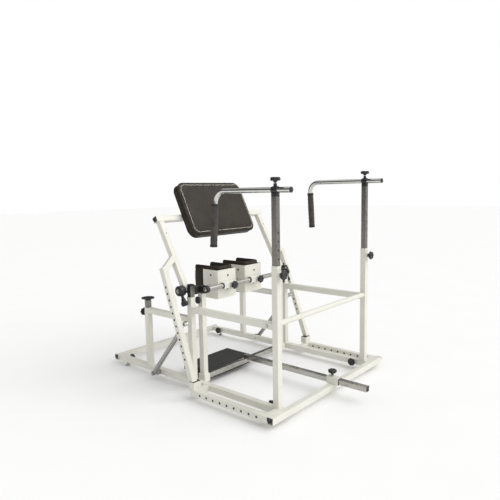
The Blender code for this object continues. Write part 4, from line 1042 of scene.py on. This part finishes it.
def bolts():
    """Small heads on the knee plates and rails, and the plug on the slide tube."""
    for side, name in SIDES.items():
        x, body = KNEE_PAD_X[side], f"knee_pad_{name}"
        for index, (y, z, radius) in enumerate(WING_BOLTS):
            for wing in (-1, 1):
                title = f"wing_bolt_{name}_{index}_{wing + 1}"
                centre = place(x + wing * WING_X, y, z)
                dome(title, body, centre, (wing, 0, 0), radius, BOLT_HEIGHT, *NYLON)
        for index, (offset, z, radius) in enumerate(FRONT_BOLTS):
            centre = place(x + offset, PLATE_FRONT, z)
            dome(f"front_bolt_{name}_{index}", body, centre, FORWARD, radius, BOLT_HEIGHT, *NYLON)
        centre = place(side * 0.425, 0.950, 0.020)
        dome(f"rail_bolt_{name}", "frame", centre, (-side, 0, 0), 0.006, 0.004, *PLATED, sides=6)
    dome("slide_tube_plug", "carriage", place(0, 0.259, 0.068), UP, 0.0075, 0.0003, *NYLON)


def pipe(name, body, start, axis, outer, inner, length, look, slot):
    """A short square sleeve with an open end, by half widths."""
    outline = rounded_outline(outer, outer, 0.003, 0.004)
    rings = []
    for half, height in ((outer, 0.0), (outer, length), (inner, length), (inner, 0.0)):
        rings.append([(x * half / outer, y * half / outer, height) for x, y in outline])
    made = show(name, rings_to_mesh(rings, closed=True), look, facing(start, axis))
    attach(made, body)


def sleeve_mouths():
    """The lengths of sleeve that stand out past the front crossbar, and the dark liner in the
    front one."""
    body = "front_crossbar"
    for label, (y, axis, length) in SLEEVE_MOUTHS.items():
        start = place(0, y, SLEEVE_Z)
        pipe(f"sleeve_mouth_{label}", body, start, axis, 0.0199, 0.0157, length, *PAINT)
    start = place(0, -0.0265, SLIDE_Z)
    pipe("sleeve_liner", body, start, FORWARD, 0.0178, 0.0155, 0.003, *NYLON)


def hub(side):
    """The round cover over the pivot's hub, and the lobed head of its clamp screw."""
    name = SIDES[side]
    start = place(side * HUB_START, *PIVOT)
    cover = turned(f"hub_cover_{name}", HUB_COVER, PLASTIC, facing(start, (side, 0, 0)), 64)
    way = Vector((0, -math.sin(HUB_SCREW_TILT), -math.cos(HUB_SCREW_TILT)))
    matrix = facing(place(side * HUB_SCREW_X, *PIVOT) + HUB_SCREW_DROP * way, way)
    title, section = f"hub_screw_head_{name}", KNOB_SECTION[:7]
    screw = lobed_head(title, HUB_SCREW_NECK, section, HUB_SCREW_HEAD, HUB_SCREW_LOBE, matrix)
    for made in (cover, screw):
        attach(made, NODES[f"pivot_head_{name}"]["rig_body"])


def bush(side):
    """The black liner that shows round the knee bar at each end of a pad's sliding block."""
    name = SIDES[side]
    for end, offset in BUSH_OFFSETS.items():
        matrix = facing(place(KNEE_PAD_X[side] + offset, *KNEE_BAR), (end, 0, 0))
        title = f"slider_bush_{name}_{end + 1}"
        made = turned(title, BUSH, PLASTIC, matrix, 32, closed=True)
        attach(made, f"knee_pad_{name}")


SPLAY = math.radians(4.6)
GRIP_Y = 0.465
GRIP_START = 0.068  # below the handle's centre line
GRIP_END = 0.229
GRIP_RADIUS = 0.0186
GRIP_MARGIN = 0.014  # at each end, under the collar and the cap
GRIP_SWELL = 0.0007
GROOVE_DEPTH = 0.0005
GROOVE_STEPS = 5.5  # from one finger groove to the next
GRIP_STEPS = 44
GRIP_COLLAR = (
    (0.0150, 0.0),
    (0.0186, 0.0),
    (0.0199, 0.0014),
    (0.0199, 0.0120),
    (0.0190, 0.0146),
    (0.0180, 0.0150),
)
GRIP_CAP = (
    (0.0180, GRIP_END - 0.0155),
    (0.0190, GRIP_END - 0.015),
    (0.0199, GRIP_END - 0.012),
    (0.0199, GRIP_END - 0.004),
    (0.0190, GRIP_END - 0.0014),
    (0.0165, GRIP_END - 0.0003),
    (0.004, GRIP_END),
)


def hand_grip(side):
    """Soft grip with a shallow swell and finger grooves, between a black collar and a black end."""
    name = SIDES[side]
    down = Vector((side * math.sin(SPLAY), 0, -math.cos(SPLAY)))
    top = place(side * TRACK, GRIP_Y, HANDLE_Z[side]) + GRIP_START * down
    profile = []
    for step in range(GRIP_STEPS + 1):
        reach = GRIP_MARGIN + (GRIP_END - 2 * GRIP_MARGIN) * step / GRIP_STEPS
        groove = GROOVE_DEPTH * math.cos(2 * math.pi * step / GROOVE_STEPS)
        swollen = GRIP_SWELL * math.sin(math.pi * step / GRIP_STEPS)
        profile.append((GRIP_RADIUS + swollen + groove, reach))
    body = f"handle_{name}"
    sleeve = turned(f"grip_foam_{name}", profile, FOAM, facing(top, down), 40)
    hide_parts(f"hand_grip_{name}")
    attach(sleeve, body)
    for label, shape in (("collar", GRIP_COLLAR), ("end", GRIP_CAP)):
        made = turned(f"grip_{label}_{name}", shape, RUBBER, facing(top, down), 40)
        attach(made, body)


MAT_RIGHT, MAT_LEFT = -0.328, 0.064
MAT_FRONT, MAT_BACK = 0.6905, 0.8935
MAT_TOP = 0.0453  # between the ribs
MAT_SINK = 0.002
MAT_MARGIN = 0.004  # before the first rib and after the last
RIB_PITCH = 0.0075
RIB = ((0.0, 0.0), (0.0012, 0.0016), (0.0040, 0.0016), (0.0052, 0.0))  # (Y, height)


def tread():
    """The ribbed mat on the foot plate."""
    outline = [(MAT_FRONT, -MAT_SINK), (MAT_FRONT, 0.0)]
    y = MAT_FRONT + MAT_MARGIN
    while y < MAT_BACK - MAT_MARGIN:
        outline += [(y + along, high) for along, high in RIB]
        y += RIB_PITCH
    outline += [(MAT_BACK, 0.0), (MAT_BACK, -MAT_SINK)]
    ends = []
    for x in (MAT_RIGHT, MAT_LEFT):
        ends.append([place(x, y, MAT_TOP + high) for y, high in outline])
    made = show("tread_mat", rings_to_mesh(ends), RUBBER)
    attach(made, "carriage")


WELD_HALF = 0.0176
BEAD = 0.0014
WOBBLE = 0.0002
ON_RAIL = 0.0354
ON_FOOT_BLOCK = (0.3675, 0.6715, 0.0502)
BESIDE_RAIL = 0.4602
UPRIGHT_WELDS = {"front_post": 0.0645, "pivot_post": 0.6825, "rear_post": 1.0825}  # Y
RAIL_WELDS = {  # (Y, Z)
    "upper_front": (0.0824, 0.4475),
    "upper_back": (0.6646, 0.4475),
    "bay_front": (0.7004, 0.3855),
    "bay_back": (1.0646, 0.3855),
}
LINK_WELDS = {"link_front": 0.0529, "link_back": 0.5554}  # Y


def weld(name, body, centre, axis, upward=UP):
    """A painted bead round a square tube's end, a little uneven."""
    points = []
    for index, (x, y) in enumerate(rounded_outline(WELD_HALF, WELD_HALF, 0.003, 0.0045)):
        wobble = WOBBLE * math.sin(2.3 * index)
        points.append((x * (1 + 4 * wobble), y * (1 + 4 * wobble), wobble))
    made = wire(name, [points], BEAD, WHITE, facing(centre, axis, upward))
    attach(made, body)


def welds():
    for side, name in SIDES.items():
        x = side * TRACK
        for label, y in UPRIGHT_WELDS.items():
            weld(f"weld_{label}_{name}", "frame", place(x, y, ON_RAIL), UP)
        for label, spot in RAIL_WELDS.items():
            weld(f"weld_{label}_{name}", "frame", place(x, *spot), REARWARD)
        block_x, *block = ON_FOOT_BLOCK
        weld(f"weld_foot_{name}", "carriage", place(side * block_x, *block), UP)
        centre = arm_place(side * ARM_X, ARM_TOP, 0)
        weld(f"weld_arm_{name}", "seat", centre, on_arm(1), REARWARD)
        for label, y in LINK_WELDS.items():
            centre = place(side * BESIDE_RAIL, y, RAIL_Z)
            weld(f"weld_{label}_{name}", "frame", centre, (side, 0, 0))


finish_nodes()
knobs()
seat_cushion()
for one_side in SIDES:
    knee_cushion(one_side)
    bush(one_side)
    hub(one_side)
    hand_grip(one_side)
caps()
bolts()
sleeve_mouths()
tread()
welds()


# Stage, light and camera

ROOM = 0.70  # how bright the room is, apart from the key light
BRIGHT_SIDE = (0.755, -0.656, 0.0)
KEY_PLACE = (1.5, -3.8, 3.6)
KEY_POWER = 1.85
KEY_WIDTH = math.radians(60)
CAMERA_PLACE = (-2.31235, -2.01035, 1.13678)
CAMERA_YAW = math.radians(-49.01)
CAMERA_PITCH = math.radians(6.72)
CAMERA_ROLL = math.radians(-1.04)
FOCAL_SHARE = 494.72 / 500  # of the picture's width
SENSOR = 36.0


def stage():
    mesh = bmesh.new()
    bmesh.ops.create_grid(mesh, x_segments=1, y_segments=1, size=30.0)
    data = bpy.data.meshes.new("floor")
    mesh.to_mesh(data)
    mesh.free()
    floor = bpy.data.objects.new("floor", data)
    bpy.context.scene.collection.objects.link(floor)
    paint = bpy.data.materials.new("floor_paint")
    paint.use_nodes = True
    tree = paint.node_tree
    mottle = noise(tree, node(tree, "ShaderNodeTexCoord", output="Object"), 3.0, 3.0)
    colour = blend_colour(tree, mottle, (0.90, 0.90, 0.895), (0.93, 0.93, 0.925))
    shader = tree.nodes["Principled BSDF"]
    feed(tree, shader.inputs["Base Color"], colour)
    shader.inputs["Roughness"].default_value = 0.85
    data.materials.append(paint)


def key_light():
    data = bpy.data.lights.new("key", "SUN")
    data.energy = KEY_POWER
    data.angle = KEY_WIDTH
    obj = bpy.data.objects.new("key", data)
    obj.location = KEY_PLACE
    obj.rotation_euler = Vector(KEY_PLACE).to_track_quat("Z", "Y").to_euler()
    bpy.context.scene.collection.objects.link(obj)


def studio():
    """A white room, whose gloss comes from one bright side and the ceiling."""
    world = bpy.data.worlds.new("studio")
    world.use_nodes = True
    tree = world.node_tree
    rays = tree.nodes.new("ShaderNodeLightPath").outputs
    way = node(tree, "ShaderNodeTexCoord", output="Generated")
    inputs = {0: way, 1: BRIGHT_SIDE}
    ahead = node(tree, "ShaderNodeVectorMath", inputs, output="Value", operation="DOT_PRODUCT")
    side_gloss = spread(tree, ahead, 0.10, 0.75, 0.1, 0.8)
    ceiling_gloss = spread(tree, split(tree, way)[2], 0.0, 0.9, 0.55, 0.9)
    gloss = math_node(tree, "ADD", side_gloss, ceiling_gloss)
    strength = blend_number(tree, rays["Is Glossy Ray"], ROOM, gloss)
    strength = blend_number(tree, rays["Is Camera Ray"], strength, 1.0)
    feed(tree, tree.nodes["Background"].inputs["Strength"], strength)
    feed(tree, tree.nodes["Background"].inputs["Color"], (1.0, 1.0, 1.0))
    bpy.context.scene.world = world
    bpy.context.scene.view_settings.view_transform = "Standard"


def camera():
    flat = math.cos(CAMERA_PITCH)
    way = (math.sin(CAMERA_YAW) * flat, -math.cos(CAMERA_YAW) * flat, math.sin(CAMERA_PITCH))
    back = Vector(way)
    level = Vector((math.cos(CAMERA_YAW), math.sin(CAMERA_YAW), 0))
    upright = back.cross(level)
    right = math.cos(CAMERA_ROLL) * level + math.sin(CAMERA_ROLL) * upright
    up = math.cos(CAMERA_ROLL) * upright - math.sin(CAMERA_ROLL) * level
    data = bpy.data.cameras.new("camera")
    data.sensor_width = SENSOR
    data.lens = FOCAL_SHARE * SENSOR
    obj = bpy.data.objects.new("camera", data)
    turn = Matrix((right, up, back)).transposed().to_4x4()
    obj.matrix_world = Matrix.Translation(CAMERA_PLACE) @ turn
    bpy.context.scene.collection.objects.link(obj)
    bpy.context.scene.camera = obj


stage()
studio()
key_light()
camera()
